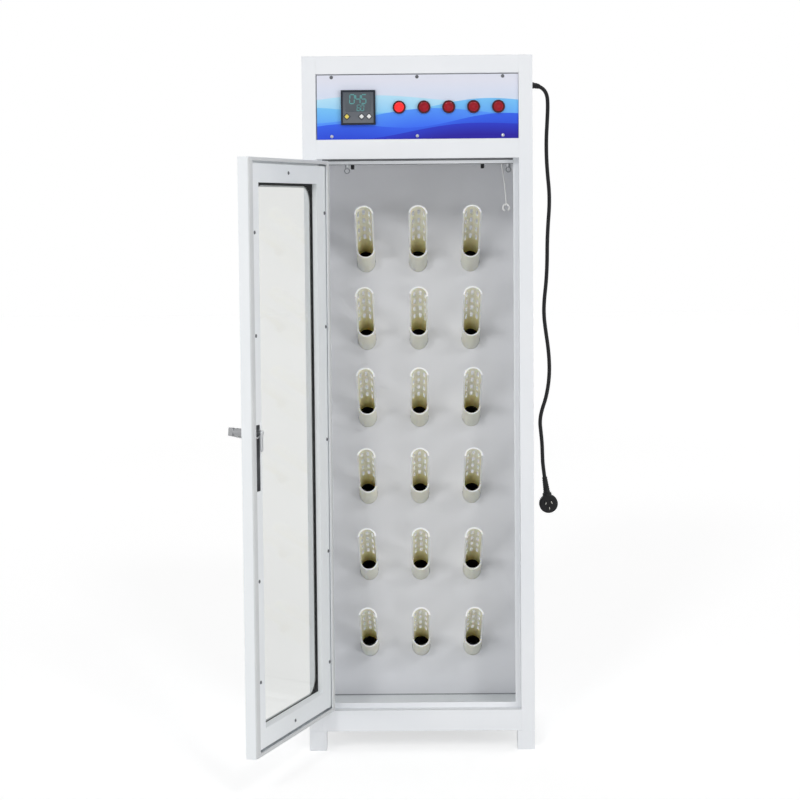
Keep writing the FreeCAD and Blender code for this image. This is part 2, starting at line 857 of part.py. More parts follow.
def blower_motor():
    place = V(scroll_width / 2, blower_y, blower_z)
    bore = rod(place - V(1, 0, 0), X_AXIS, shaft_radius + running_fit, shaft_in_motor + 1 + slide_fit)
    return rod(place, X_AXIS, motor_radius, motor_length).cut(bore)


def blower_impeller():
    """A drum of blades on a disc, with its shaft."""
    place = V(0, blower_y, blower_z)
    disc_x = impeller_width / 2 - impeller_disc
    disc = rod(place + V(disc_x, 0, 0), X_AXIS, impeller_radius, impeller_disc)
    eye = impeller_radius - blade_depth
    rim_at = place - V(impeller_width / 2, 0, 0)
    rim = rod(rim_at, X_AXIS, impeller_radius, impeller_disc).cut(rod(rim_at, X_AXIS, eye, impeller_disc))
    blades = []
    for i in range(blade_count):
        thick = (blower_y - blade_thickness / 2, blower_y + blade_thickness / 2)
        reach = (blower_z + eye + blade_thickness, blower_z + impeller_radius - blade_thickness)
        blade = box(-impeller_width / 2, disc_x, *thick, *reach)
        blade.rotate(place, X_AXIS, 360 * i / blade_count)
        blades.append(blade)
    hub = rod(place + V(disc_x + impeller_disc - hub_length, 0, 0), X_AXIS, hub_radius, hub_length)
    shaft_end = scroll_width / 2 + shaft_in_motor
    shaft = rod(place, X_AXIS, shaft_radius, shaft_end)
    return fused([disc, rim, hub, shaft] + blades)


def finned_rod(y, z):
    """One rod turned with its fins from a single outline."""
    end = heater_length / 2 + heater_rod_overhang
    outline = [V(-end, y, z), V(-end, y, z + heater_rod_radius)]
    fins = int((heater_length - 2 * fin_pitch) / fin_pitch)
    for i in range(fins):
        x = (i - (fins - 1) / 2) * fin_pitch
        near, far = x - fin_thickness / 2, x + fin_thickness / 2
        outline += [V(near, y, z + heater_rod_radius), V(near, y, z + fin_radius)]
        outline += [V(far, y, z + fin_radius), V(far, y, z + heater_rod_radius)]
    outline += [V(end, y, z + heater_rod_radius), V(end, y, z), V(-end, y, z)]
    return Part.Face(Part.makePolygon(outline)).revolve(V(0, y, z), X_AXIS, 360)


def heater():
    middle = (outlet_front + blower_back) / 2
    plate_y = (middle - heater_plate_depth / 2, middle + heater_plate_depth / 2)
    parts = []
    for x in (-heater_length / 2, heater_length / 2 - heater_plate):
        parts.append(box(x, x + heater_plate, *plate_y, ceiling - heater_plate_height, ceiling))
    for i in range(heater_rod_count):
        y = middle + (i - (heater_rod_count - 1) / 2) * heater_rod_spacing
        parts.append(finned_rod(y, ceiling - heater_rod_drop))
    return fused(parts)


def lamp_tube():
    return rod(V(-lamp_length / 2, lamp_y, ceiling - lamp_drop), X_AXIS, lamp_radius, lamp_length)


def lamp_holders():
    inner = lamp_length / 2
    y = (lamp_y - holder_depth / 2, lamp_y + holder_depth / 2)
    return group([box(s * inner, s * (inner + holder_thickness), *y, ceiling - holder_height, ceiling) for s in (-1, 1)])


# Cords


def routed_path(points):
    """Straight runs joined by tangent arcs, each as large as its two runs allow."""
    edges = []
    radii = []
    at = points[0]
    for before, corner, after in zip(points, points[1:], points[2:]):
        inward = (corner - before).normalize()
        onward = (after - corner).normalize()
        turn = inward.getAngle(onward)
        reach = 0.45 * min(corner.distanceToPoint(before), corner.distanceToPoint(after))
        radius = reach / math.tan(turn / 2)
        radii.append(radius)
        start = corner - inward * reach
        end = corner + onward * reach
        bulge = (onward - inward).normalize()
        middle = corner + bulge * (radius / math.cos(turn / 2) - radius)
        edges.append(Part.LineSegment(at, start).toShape())
        edges.append(Part.Arc(start, middle, end).toShape())
        at = end
    edges.append(Part.LineSegment(at, points[-1]).toShape())
    return Part.Wire(edges), radii


def tube_along(name, points, radius):
    path, radii = routed_path(points)
    start = (points[1] - points[0]).normalize()
    section = Part.Wire(Part.Edge(Part.Circle(points[0], start, radius)))
    tube = path.makePipeShell([section], True, False)
    expected = math.pi * radius * radius * path.Length
    print(name, "length", round(path.Length, 1), "volume ratio", round(tube.Volume / expected, 4))
    print(name, "radii", [round(r) for r in radii])
    return tube


def power_cord():
    return tube_along("power_cord", cord_points, cord_radius)


def cord_gland():
    outside = half_width
    place = V(outside, cord_y, gland_height)
    flange = rod(place, X_AXIS, gland_flange_radius, gland_stand)
    shank = rod(place - V(sheet + gland_nut, 0, 0), X_AXIS, gland_radius, sheet + gland_nut)
    nut = rod(place - V(sheet + gland_nut, 0, 0), X_AXIS, gland_flange_radius, gland_nut)
    return fused([flange, shank, nut])


def plug():
    """A round plug hanging with its pins forward, and the boot where the cord enters."""
    top = cord_points[-1]
    middle = top - V(0, 0, boot_length + plug_radius)
    disc_y = -plug_thickness / 2
    disc = rod(middle + V(0, disc_y, 0), Y_AXIS, plug_radius, plug_thickness)
    boot = Part.makeCone(boot_top_radius, boot_base_radius, boot_length + plug_radius / 2, top, Z_AXIS * -1)
    pins = []
    for side, rise, lean in pin_places:
        half = pin_thickness / 2
        centre = middle + V(side, 0, rise)
        pin_z = (centre.z - pin_width / 2, centre.z + pin_width / 2)
        face = cord_y + disc_y
        pin = box(centre.x - half, centre.x + half, face - pin_length, face + 1, *pin_z)
        pin.rotate(centre, Y_AXIS, lean)
        pins.append(pin)
    whole = fused([disc, boot] + pins)
    whole.rotate(top, Y_AXIS, -plug_tilt)
    return whole


def probe_lead():
    lead = tube_along("probe_lead", lead_points, lead_radius)
    middle = lead_points[-1] - V(0, 0, ring_radius)
    span = 360 - ring_gap_angle
    ring = Part.makeTorus(ring_radius, ring_wire_radius, V(0, 0, 0), Z_AXIS, 0, 360, span)
    ring.rotate(V(0, 0, 0), X_AXIS, 90)
    ring.rotate(V(0, 0, 0), Y_AXIS, 90 - ring_gap_angle / 2)
    ring.translate(middle)
    return fused([lead, ring])


def build():
    nodes = {
        "side_panel_left": side_panel_left(),
        "side_panel_right": side_panel_right(),
        "top_panel": top_panel(),
        "back_cover": back_cover(),
        "base_box": base_box(),
        "front_frame": front_frame(),
        "tube_panel": tube_panel(),
        "ceiling_plate": ceiling_plate(),
        "legs": legs(),
        "control_panel": control_panel(),
        "controller_case": controller_case(),
        "button_bodies": group([button_body(x) for x in button_places()]),
        "case_screws": case_screws(),
        "tube_sockets": tube_sockets(),
        "blower_housing": blower_housing(),
        "blower_motor": blower_motor(),
        "blower_impeller": blower_impeller(),
        "heater": heater(),
        "lamp_tube": lamp_tube(),
        "lamp_holders": lamp_holders(),
        "hinge_frame_leaves": group([frame_hinge(h) for h in hinge_heights]),
        "cord_gland": cord_gland(),
        "power_cord": power_cord(),
        "plug": plug(),
        "probe_lead": probe_lead(),
        "door_skin": swung(door_skin()),
        "door_inner_panel": swung(door_inner_panel()),
        "door_glass": swung(door_glass()),
        "glass_gasket": swung(glass_gasket()),
        "door_screws": swung(door_screws()),
        "lock_body": swung(lock_body()),
        "hinge_door_leaves": swung(group([door_hinge(h) for h in hinge_heights])),
        "handle_lever": swung(handle_lever()),
        "lock_cam": swung(lock_cam()),
    }
    for i, x in enumerate(button_places(), 1):
        nodes[f"button_cap_{i}"] = button_cap(x)
    for i, (x, z) in enumerate(key_places(), 1):
        nodes[f"controller_key_{i}"] = controller_key(x, z)
    tube = drying_tube()
    for row, column, place in tube_places():
        turned = tube.copy()
        turned.rotate(V(0, 0, 0), Z_AXIS, tube_twists[row][column])
        nodes[f"drying_tube_{row + 1}_{column + 1}"] = tilted(turned, place)
    return nodes


os.makedirs("parts", exist_ok=True)
for name, shape in build().items():
    shape.exportStep(f"parts/{name}.step")
    print(name, len(shape.Solids), "valid" if shape.isValid() else "NOT VALID", round(shape.Volume))
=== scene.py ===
import bpy
import bmesh
import json
import math
from mathutils import Matrix, Vector

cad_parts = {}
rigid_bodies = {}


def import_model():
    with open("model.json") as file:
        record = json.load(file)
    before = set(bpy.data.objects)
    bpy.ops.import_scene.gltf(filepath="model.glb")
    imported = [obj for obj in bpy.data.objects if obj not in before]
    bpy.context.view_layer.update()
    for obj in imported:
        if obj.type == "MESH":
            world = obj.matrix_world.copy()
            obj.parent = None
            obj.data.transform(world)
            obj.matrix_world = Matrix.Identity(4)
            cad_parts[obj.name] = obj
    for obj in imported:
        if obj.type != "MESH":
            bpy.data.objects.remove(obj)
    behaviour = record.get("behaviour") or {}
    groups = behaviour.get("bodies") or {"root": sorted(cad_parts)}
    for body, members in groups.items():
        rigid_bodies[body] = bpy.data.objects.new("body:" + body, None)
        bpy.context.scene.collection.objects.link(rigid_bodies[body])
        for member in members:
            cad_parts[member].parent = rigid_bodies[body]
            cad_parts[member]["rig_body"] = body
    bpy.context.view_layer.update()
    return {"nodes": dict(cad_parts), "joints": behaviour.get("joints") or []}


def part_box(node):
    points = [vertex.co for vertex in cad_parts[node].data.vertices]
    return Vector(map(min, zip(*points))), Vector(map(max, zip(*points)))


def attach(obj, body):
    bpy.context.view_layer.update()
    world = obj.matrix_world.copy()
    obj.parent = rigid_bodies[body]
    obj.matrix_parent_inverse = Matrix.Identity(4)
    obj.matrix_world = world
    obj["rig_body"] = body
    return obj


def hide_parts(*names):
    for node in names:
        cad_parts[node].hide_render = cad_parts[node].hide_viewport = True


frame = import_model()
nodes = frame["nodes"]
scene = bpy.context.scene
print("frame loaded:", len(nodes), "nodes")


# small helpers

yAxis = Vector((0, 1, 0))


def lin(r, g, b):  # screen colour 0-255 to linear
    out = []
    for c in (r, g, b):
        c = c / 255
        out.append(c / 12.92 if c <= 0.04045 else ((c + 0.055) / 1.055) ** 2.4)
    return (*out, 1.0)


def linkObject(name, data):
    obj = bpy.data.objects.new(name, data)
    scene.collection.objects.link(obj)
    return obj


def takeMesh(name, bm):
    mesh = bpy.data.meshes.new(name)
    bm.to_mesh(mesh)
    bm.free()
    return mesh


def paint(mesh, finish):
    mesh.materials.clear()
    mesh.materials.append(bpy.data.materials[finish])


def seat(obj, body, replaced=()):
    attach(obj, body)
    if replaced:
        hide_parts(*replaced)
    return obj


def settleMesh(name, mesh, finish, body, replaced=()):
    paint(mesh, finish)
    return seat(linkObject(name, mesh), body, replaced)


def settle(name, bm, finish, body, replaced=(), smoothAngle=35):
    bm.normal_update()
    for f in bm.faces:
        f.smooth = True
    for e in bm.edges:
        if e.calc_face_angle(0) > math.radians(smoothAngle):
            e.smooth = False
    return settleMesh(name, takeMesh(name, bm), finish, body, replaced)


def ringOf(bm, centre, first, second, radius, steps):  # points round a centre, in the plane of two directions
    turns = [2 * math.pi * k / steps for k in range(steps)]
    return [bm.verts.new(centre + (first * math.cos(a) + second * math.sin(a)) * radius) for a in turns]


def bridge(bm, rows, closed=False, capped=True):  # faces between loops of points; a loop may be one point
    made = []
    for a, b in zip(rows, rows[1:] + (rows[:1] if closed else [])):
        count = max(len(a), len(b))
        for k in range(count):
            j = (k + 1) % count
            corners = dict.fromkeys((a[k % len(a)], a[j % len(a)], b[j % len(b)], b[k % len(b)]))
            if len(corners) > 2:
                made.append(bm.faces.new(list(corners)))
    if capped and not closed:
        made += [bm.faces.new(list(reversed(rows[0]))), bm.faces.new(rows[-1])]
    bmesh.ops.recalc_face_normals(bm, faces=made)


def lathe(bm, profile, centre, axis, steps):  # profile: (distance along the axis, radius), 0 at both ends
    axis = Vector(axis).normalized()
    side = axis.orthogonal().normalized()
    rows = []
    for along, radius in profile:
        middle = centre + axis * along
        ring = ringOf(bm, middle, side, axis.cross(side), radius, steps) if radius else [bm.verts.new(middle)]
        rows.append(ring)
    bridge(bm, rows, capped=False)


def block(bm, low, high, bevel, turn=None):
    low, high = Vector(low), Vector(high)
    made = bmesh.ops.create_cube(bm, size=1.0)["verts"]
    for v in made:
        v.co = v.co * (high - low) + (low + high) / 2
    if turn is not None:
        bmesh.ops.transform(bm, matrix=turn, verts=made)
    edges = list(dict.fromkeys(e for v in made for e in v.link_edges))
    bmesh.ops.bevel(bm, geom=edges, offset=bevel, segments=2, profile=0.5, affect="EDGES", clamp_overlap=True)


def prism(bm, outline, y0, y1):  # outline of (x, z) points pushed from y0 to y1
    bridge(bm, [[bm.verts.new((x, y, z)) for x, z in outline] for y in (y0, y1)])


def roundedLoop(x0, x1, z0, z1, r, steps=10):
    points = []
    corners = ((x1 - r, z1 - r, 0), (x0 + r, z1 - r, 90), (x0 + r, z0 + r, 180), (x1 - r, z0 + r, 270))
    for cx, cz, first in corners:
        for k in range(steps + 1):
            a = math.radians(first + 90 * k / steps)
            points.append((cx + r * math.cos(a), cz + r * math.sin(a)))
    return points


def grownLoop(box, grow, corner):  # round a box of left, right, foot and head, grown on every side
    x0, x1, z0, z1 = box
    return roundedLoop(x0 - grow, x1 + grow, z0 - grow, z1 + grow, corner)


easing = {"weld": 2e-6, "flat": math.radians(0.4), "curved": math.radians(0.5), "sharp": math.radians(38)}


def solidsOf(mesh):  # one closed bmesh for each solid of a node, also where two solids touch
    whole = bmesh.new()
    whole.from_mesh(mesh)
    bmesh.ops.remove_doubles(whole, verts=whole.verts, dist=easing["weld"])
    found, done = [], set()
    for first in whole.faces:
        if first in done:
            continue
        done.add(first)
        queue, piece, corners = [first], bmesh.new(), {}
        while queue:
            face = queue.pop()
            for v in face.verts:
                if v not in corners:
                    corners[v] = piece.verts.new(v.co)
            piece.faces.new([corners[v] for v in face.verts])
            for e in face.edges:
                if len(e.link_faces) == 2:
                    fresh = [f for f in e.link_faces if f not in done]
                    queue += fresh
                    done.update(fresh)
        piece.normal_update()
        found.append(piece)
    whole.free()
    return found


def softCopy(node, width, finish, segments=2):  # the CAD shape with its sharp edges eased
    name = node + "Soft"
    joined = bmesh.new()
    for bm in solidsOf(nodes[node].data):
        bmesh.ops.dissolve_limit(bm, angle_limit=easing["flat"], verts=bm.verts, edges=bm.edges)
        for f in bm.faces:
            f.smooth = any(easing["curved"] < e.calc_face_angle(0) < easing["sharp"] for e in f.edges)
        sharp = [e for e in bm.edges if e.calc_face_angle(0) > easing["sharp"]]
        strip = set(bmesh.ops.bevel(bm, geom=sharp, offset=width, segments=segments, profile=0.5,
                                    affect="EDGES", clamp_overlap=True)["faces"])
        for f in strip:
            f.smooth = True
        for e in bm.edges:
            if len({f in strip for f in e.link_faces}) == 2:  # the eased strip meets a flat face
                e.smooth = False
        part = takeMesh("part", bm)
        joined.from_mesh(part)
        bpy.data.meshes.remove(part)
    settleMesh(name, takeMesh(name, joined), finish, nodes[node]["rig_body"], (node,))


# nodes of a material

def nodeOf(tree, kind):
    return next(n for n in tree.nodes if n.type == kind)


def feed(socket, value):  # a link, or a constant on the socket itself
    if isinstance(value, bpy.types.NodeSocket):
        socket.id_data.links.new(value, socket)
    else:
        socket.default_value = value


def fill(node, **values):  # underscores stand for the spaces in a socket's name
    for label, value in values.items():
        feed(node.inputs[label.replace("_", " ")], value)


def addNode(tree, kind, **values):
    node = tree.nodes.new(kind)
    fill(node, **values)
    return node


def operate(tree, kind, operation, *values):
    node = tree.nodes.new(kind)
    node.operation = operation
    for socket, value in zip(node.inputs, values):
        feed(socket, value)
    return node.outputs


def mathNode(tree, operation, *values):
    return operate(tree, "ShaderNodeMath", operation, *values)[0]


def mapRange(tree, value, fromLow, fromHigh, toLow=0.0, toHigh=1.0):
    node = addNode(tree, "ShaderNodeMapRange", Value=value, From_Min=fromLow, From_Max=fromHigh,
                   To_Min=toLow, To_Max=toHigh)
    return node.outputs[0]


def mixColour(tree, factor, first, second):
    node = tree.nodes.new("ShaderNodeMix")
    node.data_type = "RGBA"
    for index, value in ((0, factor), (6, first), (7, second)):  # the colour sockets share their names
        feed(node.inputs[index], value)
    return node.outputs[2]


def placeGroup(tree, group, vector, **values):
    node = tree.nodes.new("ShaderNodeGroup")
    node.node_tree = group
    fill(node, Vector=vector, **values)
    return node.outputs


def newGroup(name, settings, results):  # takes a vector and settings, gives values
    tree = bpy.data.node_groups.new(name, "ShaderNodeTree")
    addSocket = tree.interface.new_socket
    addSocket("Vector", in_out="INPUT", socket_type="NodeSocketVector")
    for label, value in settings.items():
        kind = "NodeSocketFloat" if isinstance(value, float) else "NodeSocketVector"
        addSocket(label, in_out="INPUT", socket_type=kind).default_value = value
    for label in results:
        addSocket(label, in_out="OUTPUT", socket_type="NodeSocketFloat")
    return tree, tree.nodes.new("NodeGroupInput").outputs, tree.nodes.new("NodeGroupOutput")


# shader groups

grainLayers = {  # result: its scale setting, that setting's start, detail, roughness
    "Height": ("Grain Scale", 900.0, 2.0, 0.55), "Tone": ("Tone Scale", 4.0, 3.0, 0.5),
    "Rub": ("Rub Scale", 30.0, 5.0, 0.65),
}


def makeGrainGroup():  # fine grain, a slow change of tone and rubbed patches
    settings = {layer[0]: layer[1] for layer in grainLayers.values()}
    tree, put, out = newGroup("surfaceGrain", settings, grainLayers)
    for label, (setting, start, detail, rough) in grainLayers.items():
        noise = addNode(tree, "ShaderNodeTexNoise", Vector=put["Vector"], Scale=put[setting], Detail=detail,
                        Roughness=rough)
        fill(out, **{label: noise.outputs[0]})
    return tree


def makeBrushGroup():  # drawn lines along one axis
    tree, put, out = newGroup("drawnLines", {"Stretch": (40.0, 1200.0, 1200.0)}, ("Lines",))
    drawn = operate(tree, "ShaderNodeVectorMath", "MULTIPLY", put["Vector"], put["Stretch"])
    noise = addNode(tree, "ShaderNodeTexNoise", Vector=drawn[0], Scale=1.0, Detail=3.0)
    fill(out, Lines=noise.outputs[0])
    return tree


waveSettings = {"Level": 1.65, "Swell": 0.015, "Length": 0.5, "Start": 0.0, "Slope": 0.0, "Fade": 0.05}
waveEdge = 0.0003  # half the width of the printed edge


def makeWaveGroup():  # 1 under a wavy line across the panel, 0 over it, and how deep under it
    tree, put, out = newGroup("waveBand", waveSettings, ("Mask", "Depth"))
    spot = addNode(tree, "ShaderNodeSeparateXYZ", Vector=put["Vector"]).outputs
    turns = mathNode(tree, "DIVIDE", mathNode(tree, "SUBTRACT", spot["X"], put["Start"]), put["Length"])
    wave = mathNode(tree, "SINE", mathNode(tree, "MULTIPLY", turns, 2 * math.pi))
    swell = mathNode(tree, "MULTIPLY", wave, put["Swell"])
    tilt = mathNode(tree, "MULTIPLY", spot["X"], put["Slope"])
    line = mathNode(tree, "ADD", mathNode(tree, "ADD", swell, put["Level"]), tilt)
    under = mathNode(tree, "SUBTRACT", line, spot["Z"])
    depth = addNode(tree, "ShaderNodeClamp", Value=mathNode(tree, "DIVIDE", under, put["Fade"]))
    fill(out, Mask=mapRange(tree, under, -waveEdge, waveEdge), Depth=depth.outputs[0])
    return tree


grainGroup = makeGrainGroup()
brushGroup = makeBrushGroup()
waveGroup = makeWaveGroup()
print("shader groups made")


# materials

noiseSpan = (0.3, 0.7)  # most of the noise lies here


def startMaterial(name):
    mat = bpy.data.materials.new(name)
    mat.use_nodes = True
    tree = mat.node_tree
    return tree, nodeOf(tree, "BSDF_PRINCIPLED"), tree.nodes.new("ShaderNodeTexCoord").outputs["Object"]


def addBump(tree, shader, height, strength, distance):
    bump = addNode(tree, "ShaderNodeBump", Strength=strength, Distance=distance, Height=height)
    fill(shader, Normal=bump.outputs[0])


def grained(name, grain, toneScale, rubScale, rough, bump, depth=0.0002):  # grain, rubbed gloss and a tone to use
    tree, shader, coord = startMaterial(name)
    marks = placeGroup(tree, grainGroup, coord, Grain_Scale=grain, Tone_Scale=toneScale, Rub_Scale=rubScale)
    fill(shader, Roughness=mapRange(tree, marks["Rub"], *noiseSpan, *rough))
    addBump(tree, shader, marks["Height"], bump, depth)
    return tree, shader, coord, marks["Tone"]


def plainFinish(name, first, second, rough, grain, toneScale, bump, gloss=0.5, metal=0.0):
    tree, shader, coord, tone = grained(name, grain, toneScale, rubScale=30.0, rough=rough, bump=bump)
    colour = mixColour(tree, mapRange(tree, tone, *noiseSpan), lin(*first), lin(*second))
    fill(shader, Base_Color=colour, Specular_IOR_Level=gloss, Metallic=metal)
    return shader


def brushedFinish(name, first, second, rough, stretch):
    tree, shader, coord = startMaterial(name)
    lines = placeGroup(tree, brushGroup, coord, Stretch=stretch)["Lines"]
    colour = mixColour(tree, mapRange(tree, lines, *noiseSpan), lin(*first), lin(*second))
    fill(shader, Base_Color=colour, Roughness=mapRange(tree, lines, *noiseSpan, *rough), Metallic=1.0)
    addBump(tree, shader, lines, strength=0.1, distance=0.00005)


plainFinishes = {  # two tones, roughness, grain scale, tone scale, bump, gloss, metal
    # a brighter copy of the case white: painted light on the door, the base box and the window sill
    "doorWhite": ((243, 247, 250), (247, 250, 252), (0.34, 0.46), 1100, 3, 0.12),
    "caseWhite": ((233, 236, 240), (239, 241, 244), (0.34, 0.46), 1100, 3, 0.12),
    "chamberWhite": ((235, 236, 240), (240, 241, 245), (0.38, 0.52), 1100, 3, 0.12),
    "socketBlack": ((24, 23, 24), (34, 33, 33), (0.35, 0.55), 1600, 12, 0.2, 0.25),
    "holderDark": ((36, 36, 38), (48, 48, 50), (0.4, 0.55), 1600, 20, 0.2, 0.25),
    "plugBlack": ((18, 18, 20), (30, 30, 32), (0.3, 0.46), 1800, 25, 0.2, 0.25),
    "cordBlack": ((19, 19, 21), (28, 28, 30), (0.36, 0.5), 1200, 8, 0.12, 0.25),
    "gasketBlack": ((20, 20, 21), (34, 34, 35), (0.5, 0.7), 1500, 10, 0.2, 0.25),
    "lockGrey": ((104, 106, 109), (128, 130, 133), (0.35, 0.5), 900, 30, 0.15),
    "sealGrey": ((212, 214, 216), (219, 221, 222), (0.5, 0.65), 1300, 9, 0.15, 0.3),
    # dark tone for the painted shade strips in the opening and the painted shadow round the control panel
    "edgingGrey": ((104, 106, 109), (118, 120, 123), (0.5, 0.65), 1300, 9, 0.15, 0.25),
    "jointGrey": ((158, 160, 164), (172, 174, 177), (0.5, 0.65), 1300, 9, 0.15, 0.25),
    "motorGrey": ((58, 62, 66), (72, 76, 80), (0.4, 0.55), 900, 20, 0.25),
    "leadWhite": ((250, 250, 250), (253, 253, 253), (0.4, 0.5), 1500, 20, 0.1),
    "lampGlass": ((238, 240, 240), (246, 247, 246), (0.2, 0.3), 1500, 20, 0.05),
    "windowSmoke": ((72, 80, 88), (84, 92, 98), (0.15, 0.25), 1500, 30, 0.03),
    "keyYellow": ((228, 208, 92), (240, 222, 120), (0.25, 0.35), 1500, 60, 0.08),
    "keyWhite": ((226, 228, 228), (240, 241, 240), (0.25, 0.35), 1500, 60, 0.08),
    "surroundDark": ((44, 48, 54), (58, 62, 66), (0.3, 0.4), 1500, 60, 0.1),
    "zincSheet": ((168, 172, 176), (196, 199, 202), (0.28, 0.45), 60, 25, 0.03, 0.5, 1.0),
    "heaterMetal": ((126, 118, 108), (158, 154, 148), (0.35, 0.5), 400, 40, 0.08, 0.5, 1.0),
}
brushedFinishes = {  # two tones, roughness, stretch of the drawn lines
    "brightSteel": ((172, 174, 178), (206, 208, 211), (0.22, 0.36), (1400.0, 1400.0, 90.0)),
    "camSteel": ((214, 216, 219), (232, 233, 235), (0.3, 0.42), (1400.0, 1400.0, 90.0)),
    # dark steel; on the top row of panel screws it stands for painted shade
    "screwSteel": ((88, 90, 94), (122, 124, 128), (0.28, 0.42), (1400.0, 1400.0, 90.0)),
    "handleMetal": ((140, 141, 143), (176, 177, 179), (0.28, 0.42), (900.0, 60.0, 900.0)),
    "pinBrass": ((186, 184, 176), (214, 212, 204), (0.2, 0.32), (900.0, 60.0, 900.0)),
}
litFinishes = {  # two tones, roughness, grain scale, tone scale, bump, gloss; coat, own light
    "digitTeal": (((80, 146, 146), (80, 146, 146), (0.4, 0.5), 1500, 30, 0.05, 0.5), 0.0, 0.14),
    "buttonLit": (((232, 36, 42), (240, 52, 52), (0.16, 0.24), 1200, 60, 0.05, 0.3), 0.12, 0.35),
    "buttonRed": (((148, 6, 28), (168, 9, 34), (0.16, 0.24), 1200, 60, 0.05, 0.3), 0.12, 0.0),
    "bezelRed": (((62, 8, 18), (80, 10, 22), (0.16, 0.24), 1200, 60, 0.05, 0.3), 0.12, 0.0),
}
for name, look in plainFinishes.items():
    plainFinish(name, *look)
for name, look in brushedFinishes.items():
    brushedFinish(name, *look)
for name, (look, coat, glow) in litFinishes.items():
    fill(plainFinish(name, *look), Coat_Weight=coat, Coat_Roughness=0.08, Emission_Color=lin(*look[0]),
         Emission_Strength=glow)
print("plain finishes made")


tubeTones = {  # outside; cut edges, lit up as painted highlight; inside near the slots; inside near the foot, yellower and darker as painted shade of light bounced inside the tube
    "outside": (lin(244, 241, 223), lin(249, 247, 233)), "edge": lin(253, 253, 250),
    "inside": lin(243, 240, 219), "foot": lin(240, 233, 188), "fade": (0.092, 0.128),
}


def readAttribute(tree, name):
    node = tree.nodes.new("ShaderNodeAttribute")
    node.attribute_name = name
    return node.outputs["Fac"]


def makeTubeIvory():  # pale plastic, with painted shade that yellows it down inside and a painted highlight that whitens it where it is cut
    t = tubeTones
    tree, shader, coord, tone = grained("tubeIvory", grain=700.0, toneScale=9.0, rubScale=30.0,
                                        rough=(0.34, 0.48), bump=0.08)
    outside = mixColour(tree, mapRange(tree, tone, *noiseSpan), *t["outside"])
    # painted shade: inside, the tube turns yellower and darker towards its foot
    insideShaded = mixColour(tree, mapRange(tree, readAttribute(tree, "along"), *t["fade"]), t["foot"], t["inside"])
    colour = mixColour(tree, readAttribute(tree, "inside"), outside, insideShaded)
    # painted highlight: the cut faces are made near white
    fill(shader, Base_Color=mixColour(tree, readAttribute(tree, "edge"), colour, t["edge"]),
         Subsurface_Weight=0.35, Subsurface_Radius=(0.009, 0.007, 0.004), Subsurface_Scale=1.0)


def makeClearGlass():
    tree, shader, coord, tone = grained("clearGlass", grain=6.0, toneScale=2.0, rubScale=14.0,
                                        rough=(0.03, 0.054), bump=0.02, depth=0.0005)
    fill(shader, Base_Color=lin(236, 237, 235), Transmission_Weight=1.0, IOR=1.2, Specular_IOR_Level=0.1)
    clear = addNode(tree, "ShaderNodeBsdfTransparent", Color=lin(244, 245, 244))
    path = tree.nodes.new("ShaderNodeLightPath").outputs
    letThrough = mathNode(tree, "MAXIMUM", path["Is Shadow Ray"], path["Is Diffuse Ray"])
    both = tree.nodes.new("ShaderNodeMixShader")
    for socket, value in zip(both.inputs, (letThrough, shader.outputs[0], clear.outputs[0])):
        feed(socket, value)
    fill(nodeOf(tree, "OUTPUT_MATERIAL"), Surface=both.outputs[0])


panelPrint = {
    "ground": lin(226, 228, 240), "groundLow": lin(206, 222, 246), "rise": (1.63, 1.72),
    "sheet": lin(206, 209, 213), "film": 0.0004,  # printed on the front only
    "bands": [  # level, swell, length, start, slope, crest colour, deep colour, fade
        (1.671, 0.013, 0.66, -0.30, 0.020, lin(184, 228, 250), lin(140, 206, 250), 0.050),
        (1.652, 0.012, 0.47, 0.05, 0.045, lin(122, 198, 250), lin(92, 164, 250), 0.050),
        (1.632, 0.014, 0.58, -0.12, 0.030, lin(84, 150, 252), lin(60, 112, 246), 0.045),
        (1.609, 0.011, 0.42, 0.10, 0.060, lin(52, 98, 236), lin(40, 72, 214), 0.040),
        (1.588, 0.010, 0.52, -0.02, 0.075, lin(40, 58, 200), lin(36, 24, 158), 0.030),
    ],
}


def makePanelPrint():  # overlapping printed bands under a satin film
    p = panelPrint
    tree, shader, coord, tone = grained("panelPrint", grain=1400.0, toneScale=6.0, rubScale=40.0,
                                        rough=(0.33, 0.37), bump=0.015, depth=0.00002)
    spot = addNode(tree, "ShaderNodeSeparateXYZ", Vector=coord).outputs
    colour = mixColour(tree, mapRange(tree, spot["Z"], *p["rise"], 1.0, 0.0), p["ground"], p["groundLow"])
    for level, swell, length, start, slope, crest, deep, fade in p["bands"]:
        band = placeGroup(tree, waveGroup, coord, Level=level, Swell=swell, Length=length, Start=start,
                          Slope=slope, Fade=fade)
        colour = mixColour(tree, band["Mask"], colour, mixColour(tree, band["Depth"], crest, deep))
    front = mathNode(tree, "LESS_THAN", spot["Y"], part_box("control_panel")[0].y + p["film"])
    fill(shader, Base_Color=mixColour(tree, front, p["sheet"], colour), Specular_IOR_Level=0.3)


controller = {
    "centre": (-0.1535, 1.650), "faceY": -0.2275, "half": 0.040, "mask": 0.0402, "rimY": -0.2279,
    # the face tones run from lighter at the foot of the face to darker at its head, over half above and below the
    # centre: painted shade
    "rimTones": (lin(22, 27, 38), lin(34, 39, 50)), "faceShadeTones": (lin(106, 110, 116), lin(84, 90, 98)),
    "window": (-0.0335, 0.0335, -0.0115, 0.0365), "windowCorner": 0.003, "windowY": (-0.0003, 0.0002),
    "numbers": [(-0.0005, 0.0217, 0.023, "045"), (0.006, -0.001, 0.015, "60")],  # dx, dz, height, digits
    "digitWide": 0.52, "digitPitch": 0.66, "digitLine": 0.11, "lean": 0.06, "digitY": (-0.0006, -0.0002),
    "keys": (-0.0296, 0.0087, 0.0280), "keyDrop": 0.0233, "surround": (0.0098, 0.0075),
    "surroundY": (-0.0004, 0.0001),
}


